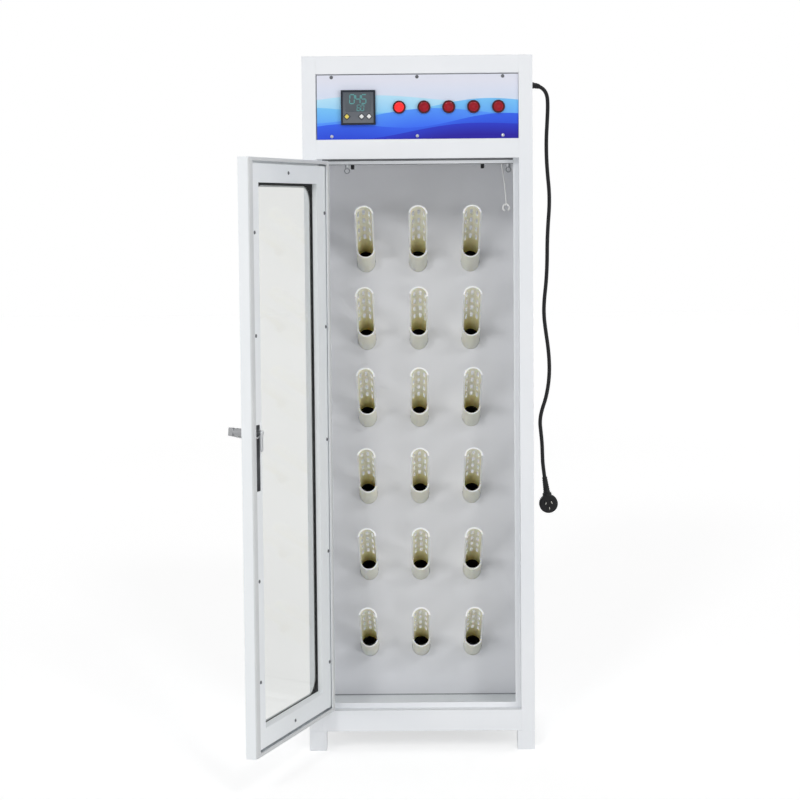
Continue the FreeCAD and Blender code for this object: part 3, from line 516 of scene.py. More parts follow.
def makeControllerBlack():  # dark rim, and a face inside it whose tone darkens towards the top as painted shade
    c = controller
    tree, shader, coord, tone = grained("controllerBlack", grain=1500.0, toneScale=25.0, rubScale=60.0,
                                        rough=(0.28, 0.42), bump=0.15, depth=0.0001)
    spot = addNode(tree, "ShaderNodeSeparateXYZ", Vector=coord).outputs
    face = mathNode(tree, "GREATER_THAN", spot["Y"], c["rimY"])
    for axis, middle in zip("XZ", c["centre"]):
        away = mathNode(tree, "ABSOLUTE", mathNode(tree, "SUBTRACT", spot[axis], middle))
        face = mathNode(tree, "MULTIPLY", face, mathNode(tree, "LESS_THAN", away, c["mask"]))
    rim = mixColour(tree, mapRange(tree, tone, *noiseSpan), *c["rimTones"])
    # painted shade: the face is lighter at its foot and darker at its head
    low, high = c["centre"][1] - c["half"], c["centre"][1] + c["half"]
    shadedFace = mixColour(tree, mapRange(tree, spot["Z"], low, high), *c["faceShadeTones"])
    fill(shader, Base_Color=mixColour(tree, face, rim, shadedFace), Specular_IOR_Level=0.25)


makeTubeIvory()
makeClearGlass()
makePanelPrint()
makeControllerBlack()
print("tube, glass, print and control finishes made")


# camera at the photograph's place

cameraSet = {"place": (-0.0103, -5.5941, 1.3700), "lens": 92.228, "sensor": 36.0, "reach": 200,
             "yaw": 0.431, "pitch": 4.268, "roll": 0.511, "shift": (0.0, -0.04)}


def makeCamera():
    c = cameraSet
    data = bpy.data.cameras.new("photoCamera")
    data.sensor_width, data.lens, data.clip_end = c["sensor"], c["lens"], c["reach"]
    data.shift_x, data.shift_y = c["shift"]
    data.dof.use_dof = False
    cam = linkObject("photoCamera", data)
    place = Matrix.Translation(c["place"])
    for angle, axis in ((c["yaw"], "Z"), (90 - c["pitch"], "X"), (-c["roll"], "Z")):
        place = place @ Matrix.Rotation(math.radians(angle), 4, axis)
    cam.matrix_world = place
    scene.camera = cam


makeCamera()
print("camera set")


# cord, its sleeve and plug

mainsCord = {
    "radius": 0.00525, "length": 1.10, "exit": (0.308, 0.0, 1.717),
    "route": [  # x and z, in metres, at y 0
        (0.3080, 1.7170), (0.3260, 1.7165), (0.3435, 1.7070), (0.3532, 1.6895), (0.3545, 1.6600),
        (0.3528, 1.6220), (0.3500, 1.5750), (0.3502, 1.5220), (0.3535, 1.4720), (0.3576, 1.4300),
        (0.3576, 1.3880), (0.3542, 1.3450), (0.3516, 1.2950), (0.3512, 1.2400), (0.3485, 1.1850),
        (0.3428, 1.1370), (0.3414, 1.0950), (0.3466, 1.0500), (0.3532, 1.0050), (0.3566, 0.9600),
        (0.3552, 0.9150), (0.3470, 0.8680), (0.3348, 0.8330), (0.3294, 0.8030), (0.3326, 0.7720),
        (0.3356, 0.7400), (0.3364, 0.7080), (0.3376, 0.6805), (0.34205, 0.6488)],
}
cordSleeve = {"length": 0.026, "radius": 0.0088, "taper": 0.0030, "plain": 0.004, "rib": 0.0032, "bulge": 0.0009,
              "sides": 28}
sensorLead = {
    "radius": 0.0018, "length": 0.145, "exit": (0.2206, -0.110, 1.540),
    "route": [(0.2206, 1.5400), (0.2227, 1.5120), (0.2269, 1.4800), (0.2316, 1.4470), (0.2348, 1.4180),
              (0.2359, 1.3960)],
    "ringRadius": 0.0085, "wire": 0.0031, "arc": (-65.0, 310.0), "steps": 32, "sides": 16,
}
plugShape = {
    "top": (0.34205, 0.0, 0.6488), "tilt": 8.0, "boot": 0.048, "radius": 0.0255, "thick": 0.024,
    "frontEdge": [(0, 0.006), (0.0008, 0.0052), (0.0008, 0.0028), (0.0014, 0.0014), (0.0032, 0)],
    "rearEdge": [(0.006, 0), (0.002, 0.0022), (0.0004, 0.006)],  # in from the face, in from the rim
    "bootStart": [(0, 0), (0, 0.0070)],
    "ribs": 6, "ribPitch": (0.0062, 0.00035), "rib": [(0.004, 0.0072), (0.0049, 0.0065), (0.0062, 0.0065),
                                                     (0.0071, 0.0073)],
    "bootEnd": [(0.0425, 0.0096), (0.0440, 0.0122), (0.0500, 0.0126), (0.0530, 0.0112), (0.058, 0.0108),
                (0.058, 0)],
    "pins": [(-0.0079, 0.0046, 30.0), (0.0079, 0.0046, -30.0), (0.0, -0.0095, 0.0)],  # dx, dz, lean
    "pin": (0.0063, 0.0018, 0.018), "pinRoot": 0.002, "pinEdge": 0.0004,
}


def makeCordCurve(name, points, y, radius, finish):
    data = bpy.data.curves.new(name, "CURVE")
    data.dimensions = "3D"
    data.resolution_u = 10
    data.bevel_depth = 1.0  # the points carry the thickness
    data.bevel_resolution = 6
    data.use_fill_caps = True
    line = data.splines.new("NURBS")
    line.points.add(len(points) - 1)
    for p, (x, z) in zip(line.points, points):
        p.co = (x, y, z, 1.0)
        p.radius = radius
    line.order_u = 3
    line.use_endpoint_u = True
    data.materials.append(bpy.data.materials[finish])
    return linkObject(name, data)


def evaluatedMesh(obj):
    bpy.context.view_layer.update()
    return bpy.data.meshes.new_from_object(obj.evaluated_get(bpy.context.evaluated_depsgraph_get()))


def curvePoints(obj):  # points read from the route's own spline
    depth = obj.data.bevel_depth
    obj.data.bevel_depth = 0.0
    mesh = evaluatedMesh(obj)
    points = [v.co.copy() for v in mesh.vertices]
    bpy.data.meshes.remove(mesh)
    obj.data.bevel_depth = depth
    return points


def makePlug():
    p = plugShape
    top = Vector(p["top"])
    turn = Matrix.Translation(top) @ Matrix.Rotation(-math.radians(p["tilt"]), 4, "Y") @ Matrix.Translation(-top)
    middle = top - Vector((0, 0, p["boot"] + p["radius"]))
    half, r = p["thick"] / 2, p["radius"]
    front = [(a - half, r - b) for a, b in p["frontEdge"]]
    rear = [(half - a, r - b) for a, b in p["rearEdge"]]
    bm = bmesh.new()
    lathe(bm, [(-half, 0)] + front + rear + [(half, 0)], middle, yAxis, steps=64)
    down, out = p["ribPitch"]
    ribs = [(z + i * down, w + i * out) for i in range(p["ribs"]) for z, w in p["rib"]]
    lathe(bm, p["bootStart"] + ribs + p["bootEnd"], top, (0, 0, -1), steps=40)
    bmesh.ops.transform(bm, matrix=turn, verts=bm.verts)
    body = settle("plugBody", bm, "plugBlack", "cabinet", ("plug",))
    bm = bmesh.new()
    wide, thick, long = p["pin"]
    for dx, dz, lean in p["pins"]:
        centre = middle + Vector((dx, 0, dz))
        about = turn @ Matrix.Translation(centre) @ Matrix.Rotation(math.radians(lean), 4, "Y")
        block(bm, (-thick / 2, -half - long, -wide / 2), (thick / 2, -half + p["pinRoot"], wide / 2),
              p["pinEdge"], about)
    return body, settle("plugPins", bm, "pinBrass", "cabinet")


def makeSleeve(flex):  # tapered and ribbed, round the start of the cord
    s = cordSleeve
    bm = bmesh.new()
    path, done, rows = curvePoints(flex), 0.0, []
    for i, q in enumerate(path):
        before = path[i - 1] if i else q
        done += (q - before).length
        if done > s["length"]:
            break
        side = (path[i + 1] - before).cross(yAxis).normalized()
        ribbed = done > s["plain"] and int(done / s["rib"]) % 2 == 0
        radius = s["radius"] - s["taper"] * done / s["length"] + (s["bulge"] if ribbed else 0.0)
        rows.append(ringOf(bm, q, side, yAxis, radius, s["sides"]))
    bridge(bm, rows)
    settle("cordSleeve", bm, "plugBlack", "cabinet", ())


def makeLeadRing():  # open ring at the end of the lead
    s = sensorLead
    bm = bmesh.new()
    endX, endZ = s["route"][-1]
    centre = Vector((endX, s["exit"][1], endZ - s["ringRadius"]))
    rows = []
    for i in range(s["steps"] + 1):
        a = math.radians(s["arc"][0] + s["arc"][1] * i / s["steps"])
        out = Vector((math.cos(a), 0, math.sin(a)))
        rows.append(ringOf(bm, centre + out * s["ringRadius"], out, yAxis, s["wire"], s["sides"]))
    bridge(bm, rows)
    return settle("leadRing", bm, "leadWhite", "cabinet", ())


def makeCords():
    flex = makeCordCurve("mainsCord", mainsCord["route"], 0.0, mainsCord["radius"], "cordBlack")
    body, pins = makePlug()
    seat(flex, "cabinet", ("power_cord",))
    makeSleeve(flex)
    lead = makeCordCurve("sensorLead", sensorLead["route"], sensorLead["exit"][1], sensorLead["radius"],
                         "leadWhite")
    ring = makeLeadRing()
    seat(lead, "cabinet", ("probe_lead",))


makeCords()
print("cords hung")


# screws by geometry nodes

screwShape = {"Head Radius": 0.0046, "Head Height": 0.0025, "Slot Width": 0.0012, "Slot Length": 0.0058,
              "Slot Depth": 0.0015, "Turn": 0.0}
screwPlaces = {
    "panelX": (-0.223, 0.0, 0.223), "panelY": -0.220, "panelLow": 1.5755, "panelTop": 1.7285,
    "backX": (-0.292, 0.292), "backY": 0.225, "backFoot": 0.014, "backHead": 1.7678, "backRows": 4,
    "doorY": -0.203, "doorMiddle": 0.7865, "hingeX": -0.240, "hingePitch": 0.295,
    "lockX": 0.216, "lockAway": (-0.545, -0.2975, 0.2975, 0.545), "ends": (1.4765, 0.0965),
}
doorHinge = {"x": -0.2625, "y": -0.231, "open": math.radians(109.0)}


def makeScrewTree():  # domed cross-slot heads on the points of a mesh, facing -Y
    tree = bpy.data.node_groups.new("crossSlotScrews", "GeometryNodeTree")
    addSocket = tree.interface.new_socket
    addSocket("Geometry", in_out="INPUT", socket_type="NodeSocketGeometry")
    for label, value in screwShape.items():
        addSocket(label, in_out="INPUT", socket_type="NodeSocketFloat").default_value = value
    addSocket("Finish", in_out="INPUT", socket_type="NodeSocketMaterial")
    addSocket("Geometry", in_out="OUTPUT", socket_type="NodeSocketGeometry")
    put = tree.nodes.new("NodeGroupInput").outputs

    def vector(x, y, z):
        return addNode(tree, "ShaderNodeCombineXYZ", X=x, Y=y, Z=z).outputs[0]

    dome = addNode(tree, "GeometryNodeMeshUVSphere", Segments=24, Rings=12, Radius=1.0)
    headSize = vector(put["Head Radius"], put["Head Height"], put["Head Radius"])
    head = addNode(tree, "GeometryNodeTransform", Geometry=dome.outputs["Mesh"], Scale=headSize)
    cutters = tree.nodes.new("GeometryNodeJoinGeometry")
    depth = mathNode(tree, "MULTIPLY", put["Slot Depth"], 2.0)
    crown = vector(0.0, mathNode(tree, "MULTIPLY", put["Head Height"], -1.0), 0.0)
    for wide, tall in (("Slot Length", "Slot Width"), ("Slot Width", "Slot Length")):
        cube = addNode(tree, "GeometryNodeMeshCube", Size=vector(put[wide], depth, put[tall]))
        lift = addNode(tree, "GeometryNodeTransform", Geometry=cube.outputs["Mesh"], Translation=crown)
        feed(cutters.inputs[0], lift.outputs[0])
    carved = operate(tree, "GeometryNodeMeshBoolean", "DIFFERENCE", head.outputs[0], cutters.outputs[0])
    spots = addNode(tree, "GeometryNodeMeshToPoints", Mesh=put["Geometry"])
    heads = addNode(tree, "GeometryNodeInstanceOnPoints", Points=spots.outputs[0], Instance=carved[0],
                    Rotation=vector(0.0, 0.0, put["Turn"]))
    real = addNode(tree, "GeometryNodeRealizeInstances", Geometry=heads.outputs[0])
    finished = addNode(tree, "GeometryNodeSetMaterial", Geometry=real.outputs[0], Material=put["Finish"])
    addNode(tree, "NodeGroupOutput", Geometry=finished.outputs[0])
    return tree


screwTree = makeScrewTree()


def makeScrews(name, spots, turn, finish, body, replaced=()):
    mesh = bpy.data.meshes.new(name + "Spots")
    mesh.from_pydata(spots, [], [])
    obj = linkObject(name, mesh)
    modifier = obj.modifiers.new("screws", "NODES")
    modifier.node_group = screwTree
    ids = {s.name: s.identifier for s in screwTree.interface.items_tree if s.in_out == "INPUT"}
    modifier[ids["Turn"]] = turn
    modifier[ids["Finish"]] = bpy.data.materials[finish]
    made = evaluatedMesh(obj)
    obj.modifiers.clear()
    obj.data = made
    seat(obj, body, replaced)


def doorPoint(x, y, z):  # a place on the shut door, carried to the open door
    c, s = math.cos(doorHinge["open"]), math.sin(doorHinge["open"])
    dx, dy = x - doorHinge["x"], y - doorHinge["y"]
    return (doorHinge["x"] + dx * c + dy * s, doorHinge["y"] - dx * s + dy * c, z)


def placeScrews():
    p = screwPlaces
    low = [(x, p["panelY"], p["panelLow"]) for x in p["panelX"]]
    top = [(x, p["panelY"], p["panelTop"]) for x in p["panelX"]]
    makeScrews("panelScrewsLow", low, 0.0, "brightSteel", "cabinet", ("case_screws",))
    # the top row takes the dark steel as painted shade under the edge of the recess; the low row shows the bright
    # steel
    makeScrews("panelScrewsTopShaded", top, 0.0, "screwSteel", "cabinet")
    step = (p["backHead"] - p["backFoot"]) / (p["backRows"] - 1)
    back = [(x, p["backY"], p["backFoot"] + step * i) for i in range(p["backRows"]) for x in p["backX"]]
    makeScrews("backScrews", back, math.pi, "screwSteel", "cabinet")
    door = [(p["hingeX"], p["doorMiddle"] + i * p["hingePitch"]) for i in range(-2, 3)]
    door += [(p["lockX"], p["doorMiddle"] + away) for away in p["lockAway"]]
    door += [(0.0, z) for z in p["ends"]]
    makeScrews("doorPanelScrews", [doorPoint(x, p["doorY"], z) for x, z in door], math.pi - doorHinge["open"],
               "screwSteel", "door", ("door_screws",))


placeScrews()
print("screws placed")


# controls

strokes = {"0": "abcdef", "4": "bcfg", "5": "acdfg", "6": "acdefg"}


def makeDigit(bm, sign, px, pz, tall, depths):  # strokes named as on any seven-stroke display
    wide, line = tall * controller["digitWide"], tall * controller["digitLine"]
    places = {
        "a": (0, tall / 2, 1), "g": (0, 0, 1), "d": (0, -tall / 2, 1), "f": (-wide / 2, tall / 4, 0),
        "b": (wide / 2, tall / 4, 0), "e": (-wide / 2, -tall / 4, 0), "c": (wide / 2, -tall / 4, 0)}
    for stroke in strokes[sign]:
        ox, oz, flat = places[stroke]
        h, e = line / 2, ((wide if flat else tall / 2) - line / 2) / 2
        shape = [(-e, 0), (-e + h, -h), (e - h, -h), (e, 0), (e - h, h), (-e + h, h)]
        if not flat:
            shape = [(b, a) for a, b in shape]
        prism(bm, [(px + ox + a + controller["lean"] * oz, pz + oz + b) for a, b in shape], *depths)


def makeController():
    c = controller
    cx, cz = c["centre"]

    def depths(key):
        return [c["faceY"] + d for d in c[key]]

    bm = bmesh.new()  # smoked window over the digits
    x0, x1, z0, z1 = c["window"]
    prism(bm, roundedLoop(cx + x0, cx + x1, cz + z0, cz + z1, c["windowCorner"], steps=5), *depths("windowY"))
    settle("displayWindow", bm, "windowSmoke", "cabinet")
    bm = bmesh.new()
    for dx, dz, tall, text in c["numbers"]:
        for i, sign in enumerate(text):
            px = cx + dx + (i - (len(text) - 1) / 2) * tall * c["digitPitch"]
            makeDigit(bm, sign, px, cz + dz, tall, depths("digitY"))
    settle("displayDigits", bm, "digitTeal", "cabinet")
    bm = bmesh.new()
    outer, inner = c["surround"]
    for dx in c["keys"]:  # dark diamond round each key
        for k in range(4):
            a, b = math.radians(90 * k), math.radians(90 * k + 90)
            quad = [(cx + dx + r * math.cos(t), cz - c["keyDrop"] + r * math.sin(t))
                    for r, t in ((outer, a), (outer, b), (inner, b), (inner, a))]
            prism(bm, quad, *depths("surroundY"))
    settle("keySurrounds", bm, "surroundDark", "cabinet")
    softCopy("controller_case", 0.0006, "controllerBlack")
    for i in (1, 2, 3):
        softCopy(f"controller_key_{i}", 0.0008, "keyYellow" if i == 1 else "keyWhite", segments=3)


buttonShape = {
    "count": 5, "firstX": -0.047, "pitch": 0.0646, "z": 1.650, "faceY": -0.2275, "radius": 0.0128,
    "face": 0.0002, "flat": 0.28, "ringStep": 0.1, "rings": 5,  # fine rings moulded in the lens
    "ring": [(0.0002, 0.00004, -0.0002), (0.0005, 0.00004, 0.0), (0.0002, 0.00005, 0.0002)],
    "edge": [(0.0006, 0.90), (0.0012, 0.97), (0.0022, 1.0)], "thick": 0.003, "stem": 0.0069, "stemEnd": 0.019,
}


def makeButtons():
    b = buttonShape
    r = b["radius"]
    profile = [(b["face"], 0), (b["face"], r * b["flat"])]
    for k in range(1, b["rings"] + 1):
        at = r * (b["flat"] + b["ringStep"] * k)
        profile += [(deep + more * k, at + off) for deep, more, off in b["ring"]]
    profile += [(deep, r * share) for deep, share in b["edge"]]
    profile += [(b["thick"], r), (b["thick"], b["stem"]), (b["stemEnd"], b["stem"]), (b["stemEnd"], 0)]
    for i in range(b["count"]):
        bm = bmesh.new()
        lathe(bm, profile, Vector((b["firstX"] + i * b["pitch"], b["faceY"], b["z"])), yAxis, steps=56)
        settle(f"buttonLens{i + 1}", bm, "buttonRed" if i else "buttonLit", f"button_{i + 1}",
               (f"button_cap_{i + 1}",), smoothAngle=50)
    softCopy("button_bodies", 0.0009, "bezelRed", segments=3)


doorTrim = {  # metres on the shut door; boxes are left, right, foot, head
    "leaf": (-0.261, 0.261, 0.0615, 1.5115), "lipFace": -0.199, "panelFace": -0.203,
    "sealHeight": 0.0033, "sealInset": 0.0008, "sealCorner": 0.009, "sealRound": 0.0012, "roundShare": 0.3,
    "lips": (0.0135, 0.0235, 0.0086), "lipCorner": 0.002,
    "window": (-0.189, 0.189, 0.1215, 1.4515), "skinBack": -0.2238, "glassFront": -0.2223, "glassBack": -0.2173,
    "gasketBack": -0.2158, "gasketShows": 0.0062, "gasketCorner": 0.044, "gasketHolds": 0.0070,
    "gasketSeat": 0.0055, "seatCorner": 0.001, "gasketEdge": (0.0008, 0.0006),
    "sill": [(0.0006, 0), (0.0126, 0), (0.0126, 0.0070), (0.0114, 0.0070), (0.0006, 0.0012)],  # back, up
    "sillGap": (0.0004, 0.0002),
    "fork": [(0.2331, 0.8475), (0.2120, 0.8385), (0.1989, 0.8412)], "forkY": (-0.2074, -0.2050),
    "forkDeep": 0.0032,
}


def ringOnDoor(bm, section):  # section: (loop, y) all round its outline, closed on itself
    bridge(bm, [[bm.verts.new(doorPoint(x, y, z)) for x, z in loop] for loop, y in section], closed=True)


def makeDoorSeal():  # soft strip on the lip of the door
    t = doorTrim
    x0, x1, z0, z1 = t["leaf"]
    hinge, free, end = t["lips"]
    opening = (x0 + hinge, x1 - free, z0 + end, z1 - end)
    e, y, top = t["sealRound"], t["lipFace"], t["lipFace"] + t["sealHeight"]
    less = e * t["roundShare"]
    section = []
    for more, height in ((0, y), (0, top - e), (less, top - less), (e, top)):
        section.append((grownLoop(t["leaf"], -t["sealInset"] - more, t["sealCorner"]), height))
    for more, height in ((e, top), (less, top - less), (0, top - e), (0, y)):
        section.append((grownLoop(opening, more, t["lipCorner"]), height))
    bm = bmesh.new()
    ringOnDoor(bm, section)
    settle("doorSeal", bm, "sealGrey", "door", smoothAngle=60)


def makeGasket():  # rubber channel round the glass
    t = doorTrim
    thin, step = t["gasketEdge"]
    square = grownLoop(t["window"], t["gasketHolds"], t["seatCorner"])
    inGroove = grownLoop(t["window"], t["gasketSeat"], t["seatCorner"])
    shown = grownLoop(t["window"], -t["gasketShows"], t["gasketCorner"])
    slim = grownLoop(t["window"], thin - t["gasketShows"], t["gasketCorner"])
    bm = bmesh.new()
    ringOnDoor(bm, [(square, t["skinBack"]), (square, t["gasketBack"]), (slim, t["gasketBack"]),
                    (shown, t["gasketBack"] - step), (shown, t["glassBack"]), (inGroove, t["glassBack"]),
                    (inGroove, t["glassFront"]), (shown, t["glassFront"]), (shown, t["skinBack"])])
    settle("windowGasket", bm, "gasketBlack", "door", ("glass_gasket",), smoothAngle=40)


def makeSill():  # sloped bead on the foot of the window
    t = doorTrim
    x0, x1, z0, z1 = t["window"]
    aside, over = t["sillGap"]
    bm = bmesh.new()
    bridge(bm, [[bm.verts.new(doorPoint(x, t["panelFace"] - back, z0 + over + up)) for back, up in t["sill"]]
                for x in (x0 + aside, x1 - aside)])
    # the sill takes the brighter copy of the case white: painted light
    settle("windowSill", bm, "doorWhite", "door", (), smoothAngle=20)


def makeLatchStrip():  # bent strip seen in the lock
    t = doorTrim
    front, rear = t["forkY"]
    bm = bmesh.new()
    rows = []
    for x, z in t["fork"]:
        section = ((front, z), (rear, z), (rear, z - t["forkDeep"]), (front, z - t["forkDeep"]))
        rows.append([bm.verts.new(doorPoint(x, a, b)) for a, b in section])
    bridge(bm, rows)
    settle("latchStrip", bm, "camSteel", "door", (), smoothAngle=20)


setScrew = {"place": (0.216, -0.255, 0.8600), "radius": 0.0024, "deep": 0.0016, "proud": 0.0007, "edge": 0.0003,
            "socket": (0.55, 0.5), "socketDeep": 0.0012}


def makeSetScrew():  # grub screw that holds the lever on its spindle
    q = setScrew
    r, top, edge = q["radius"], q["proud"], q["edge"]
    wide, narrow = (r * share for share in q["socket"])
    floor = top - q["socketDeep"]
    bm = bmesh.new()
    lathe(bm, [(-q["deep"], 0), (-q["deep"], r), (top - edge, r), (top, r - edge), (top, wide), (floor, narrow),
               (floor, 0)], Vector(doorPoint(*q["place"])), (0, 0, 1), steps=24)
    settle("leverSetScrew", bm, "holderDark", "handle", ())


makeController()
makeButtons()
makeSetScrew()
makeDoorSeal()
makeGasket()
makeSill()
makeLatchStrip()
print("controls and door trim made")


# the rest of the case: eased edges where they show, finishes everywhere

easedNodes = [  # node, edge radius, finish, slot
    ("front_frame", 0.0005, "caseWhite", "case_white"), ("side_panel_left", 0.0005, "caseWhite", "case_white"),
    ("side_panel_right", 0.0005, "caseWhite", "case_white"), ("top_panel", 0.0005, "caseWhite", "case_white"),
    # the door pieces take the brighter copy of the case white: painted light
    ("legs", 0.0015, "caseWhite", "case_white"), ("door_skin", 0.0005, "doorWhite", "case_white"),
    ("door_inner_panel", 0.0005, "doorWhite", "case_white"),
    ("handle_lever", 0.0003, "handleMetal", "handle_metal"), ("lock_cam", 0.0006, "camSteel", "bright_steel"),
    ("cord_gland", 0.0010, "plugBlack", "black_plastic"), ("lamp_holders", 0.0015, "holderDark", "holder_dark"),
]
plainNodes = {
    # the base box takes the brighter copy of the case white: painted light
    "back_cover": "caseWhite", "base_box": "doorWhite", "tube_panel": "chamberWhite",
    "ceiling_plate": "chamberWhite", "control_panel": "panelPrint", "tube_sockets": "socketBlack",
    "blower_housing": "zincSheet", "blower_motor": "motorGrey", "blower_impeller": "zincSheet",
    "heater": "heaterMetal", "lamp_tube": "lampGlass", "hinge_frame_leaves": "brightSteel",
    "hinge_door_leaves": "brightSteel", "door_glass": "clearGlass", "lock_body": "lockGrey",
}
for node, width, finish, slot in easedNodes:
    softCopy(node, width, finish)
for node, finish in plainNodes.items():
    paint(nodes[node].data, finish)
print("case dressed")


tubeShape = {"rows": 6, "columns": 3, "radius": 0.025, "wall": 0.003, "thicker": 0.0014, "eased": 0.0004,
             "thickFrom": (0.026, 0.034), "near": 0.001, "facing": 0.7}


def makeTube(body, name):  # the CAD tube with a stouter lip, marked inside, outside and where it is cut, for the painted shade inside and the painted highlight on the cut faces
    t = tubeShape
    joint = next(j for j in frame["joints"] if j["name"] == body + "_turn")
    foot, axis = Vector(joint["pos_m"]), Vector(joint["axis"]).normalized()
    bm = solidsOf(nodes["drying_" + body].data)[0]
    for level in t["thickFrom"]:
        bmesh.ops.bisect_plane(bm, geom=bm.verts[:] + bm.edges[:] + bm.faces[:], dist=1e-7,
                               plane_co=foot + axis * level, plane_no=axis)
    alongLayer = bm.verts.layers.float.new("along")
    for v in bm.verts:
        along = (v.co - foot).dot(axis)
        out = v.co - foot - axis * along
        v[alongLayer] = along
        if out.length < t["radius"] - t["wall"] / 2:  # bore: slack on the stub, stouter beyond it
            v.co += out.normalized() * (-t["thicker"] if along > t["thickFrom"][1] - t["near"] else t["eased"])
    bm.normal_update()
    insideLayer, cutHighlightLayer = bm.faces.layers.float.new("inside"), bm.faces.layers.float.new("edge")
    for f in bm.faces:
        middle = f.calc_center_median() - foot
        facing = f.normal.dot((middle - axis * middle.dot(axis)).normalized())
        # faces marked inside carry the painted shade, faces marked as cut the painted highlight
        f[insideLayer] = 1.0 if facing < -t["facing"] else 0.0
        f[cutHighlightLayer] = 1.0 if abs(facing) <= t["facing"] else 0.0
    settle(name, bm, "tubeIvory", body, ("drying_" + body,))


openingTrim = {
    # the two strips are painted shade under the rail and under the stop lip
    "half": 0.250, "faceY": (-0.1955, -0.1940), "strips": ((1.5116, 1.5168), (1.5018, 1.5034)), "edge": 0.0002,
    # recess outline, then the width of the painted shadow round the control panel and the easing of its edges
    "recess": (-0.2630, 0.2630, 1.5680, 1.7360), "gap": 0.0018, "recessY": (-0.2204, -0.2198), "gapEdge": 0.0001,
    "footHalf": 0.285, "footY": (0.1036, 0.1052), "footZ": (0.0199, 0.0232), "footEdge": 0.0005,
}
lampClip = {"places": (-0.1907, 0.2455), "y": -0.025, "strapZ": (1.4956, 1.5404), "strap": (0.0052, 0.0008),
            "strapEdge": 0.0004, "ringZ": 1.4900, "ring": 0.0066, "wire": 0.0013, "band": 3, "steps": 24,
            "sides": 12}


def makeOpeningTrim():
    t = openingTrim
    bm = bmesh.new()  # painted shade at the head of the opening: dark strips under the rail and under the stop lip
    front, rear = t["faceY"]
    for low, high in t["strips"]:
        block(bm, (-t["half"], front, low), (t["half"], rear, high), t["edge"])
    settle("openingShadeStrips", bm, "edgingGrey", "cabinet", ())
    bm = bmesh.new()  # painted shadow along the head and the left of the control panel, where the edge of the frame shades the recessed plate
    left, right, foot, head = t["recess"]
    front, rear = t["recessY"]
    block(bm, (left, front, head - t["gap"]), (right, rear, head), t["gapEdge"])
    block(bm, (left, front, foot), (left + t["gap"], rear, head - t["gap"]), t["gapEdge"])
    settle("panelRecessShadow", bm, "edgingGrey", "cabinet", ())
    bm = bmesh.new()  # darker strip along the foot of the tube panel
    (front, rear), (low, high) = t["footY"], t["footZ"]
    block(bm, (-t["footHalf"], front, low), (t["footHalf"], rear, high), t["footEdge"])
    settle("panelFootStrip", bm, "jointGrey", "cabinet")


def makeLampClips():  # ring clips on straps from the ceiling
    c = lampClip
    bm = bmesh.new()
    (wide, thick), (low, high) = c["strap"], c["strapZ"]
    for x in c["places"]:
        block(bm, (x - wide, c["y"] - thick, low), (x + wide, c["y"] + thick, high), c["strapEdge"])
        rows = []
        for i in range(c["steps"]):
            a = 2 * math.pi * i / c["steps"]
            out = Vector((math.cos(a), 0, math.sin(a)))
            middle = Vector((x, c["y"], c["ringZ"])) + out * c["ring"]
            rows.append(ringOf(bm, middle, out, yAxis * c["band"], c["wire"], c["sides"]))
        bridge(bm, rows, closed=True)
    settle("lampClips", bm, "zincSheet", "cabinet", ())


for row in range(1, tubeShape["rows"] + 1):
    for column in range(1, tubeShape["columns"] + 1):
        makeTube(f"tube_{row}_{column}", f"dryingTube{row}{column}")
makeOpeningTrim()
makeLampClips()
print("tubes and chamber trim made")


# floor, light

studio = {
    "floor": 24.0, "ground": -0.052, "floorTone": 0.72, "floorRough": 0.9, "world": 0.44,
    "glowNear": 0.525, "glowMid": 0.55, "nearSpan": (1.0, 5.0), "glowFar": 0.07, "farSpan": (7.0, 16.0),
    "aim": (0, 0, 0.8), "highSize": (1.8, 1.8), "far": 14.0, "lowHeight": 0.9, "lowSize": (6.0, 1.6),
    "high": {"leftSoftbox": ((-4.0, -13.0, 7.7), 305.0), "rightSoftbox": ((4.0, -11.4, 9.7), 248.0)},  # power
    "low": {"sideSoftbox": ((3.6, -3.2), 0.64), "fillSoftbox": ((-3.2, -5.2), 0.44),  # light at the case
            "backLeftSoftbox": ((-5.5, 4.0), 0.90), "backRightSoftbox": ((5.5, 4.0), 0.90)},
}


def seenDirectly(tree):  # 1 for the camera, also by way of gloss or glass
    path = tree.nodes.new("ShaderNodeLightPath").outputs
    passed = mathNode(tree, "MAXIMUM", path["Is Glossy Ray"], path["Is Transmission Ray"])
    return mathNode(tree, "MAXIMUM", path["Is Camera Ray"], passed)


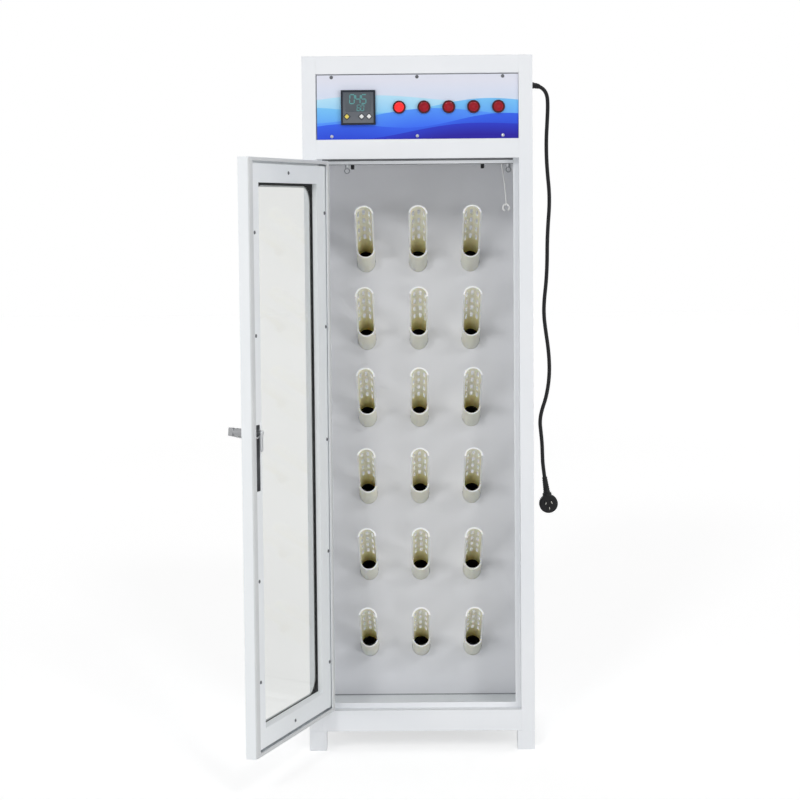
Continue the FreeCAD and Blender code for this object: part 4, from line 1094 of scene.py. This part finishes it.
def makeFloor():
    s = studio
    bm = bmesh.new()
    corners = ((-1, -1), (1, -1), (1, 1), (-1, 1))
    bm.faces.new([bm.verts.new((x * s["floor"], y * s["floor"], s["ground"])) for x, y in corners])
    floor = linkObject("floor", takeMesh("floor", bm))
    tree, shader, coord = startMaterial("floorWhite")
    far = operate(tree, "ShaderNodeVectorMath", "LENGTH", coord)["Value"]
    level = mathNode(tree, "ADD", mapRange(tree, far, *s["nearSpan"], s["glowNear"], s["glowMid"]),
                     mapRange(tree, far, *s["farSpan"], 0.0, s["glowFar"]))
    glow = addNode(tree, "ShaderNodeEmission", Strength=mathNode(tree, "MULTIPLY", seenDirectly(tree), level))
    both = tree.nodes.new("ShaderNodeAddShader")
    feed(both.inputs[0], shader.outputs[0])
    feed(both.inputs[1], glow.outputs[0])
    fill(shader, Base_Color=(*[s["floorTone"]] * 3, 1), Roughness=s["floorRough"])
    fill(nodeOf(tree, "OUTPUT_MATERIAL"), Surface=both.outputs[0])
    paint(floor.data, "floorWhite")


def makeWorld():
    world = bpy.data.worlds.new("studio")
    scene.world = world
    world.use_nodes = True
    tree = world.node_tree
    level = mapRange(tree, seenDirectly(tree), 0.0, 1.0, studio["world"], 1.0)
    fill(nodeOf(tree, "BACKGROUND"), Color=(1, 1, 1, 1), Strength=level)


def areaLight(name, place, aim, size, power):
    data = bpy.data.lights.new(name, "AREA")
    data.shape = "RECTANGLE"
    data.size, data.size_y = size
    data.energy = power
    obj = linkObject(name, data)
    turn = (Vector(aim) - Vector(place)).to_track_quat("-Z", "Y")
    obj.matrix_world = Matrix.Translation(place) @ turn.to_matrix().to_4x4()
    return obj


def makeLights():
    s = studio
    for name, (place, power) in s["high"].items():
        areaLight(name, place, s["aim"], s["highSize"], power)
    for name, (towards, level) in s["low"].items():  # far off, so no edge shows on the floor
        x, y = Vector(towards).normalized() * s["far"]
        power = level * math.pi * s["far"] ** 2
        low = areaLight(name, (x, y, s["lowHeight"]), (0, 0, s["lowHeight"]), s["lowSize"], power)
        low.visible_glossy = False  # no glare along the flat sides


makeFloor()
makeWorld()
makeLights()
scene.view_settings.view_transform = "Standard"
print("studio lit")
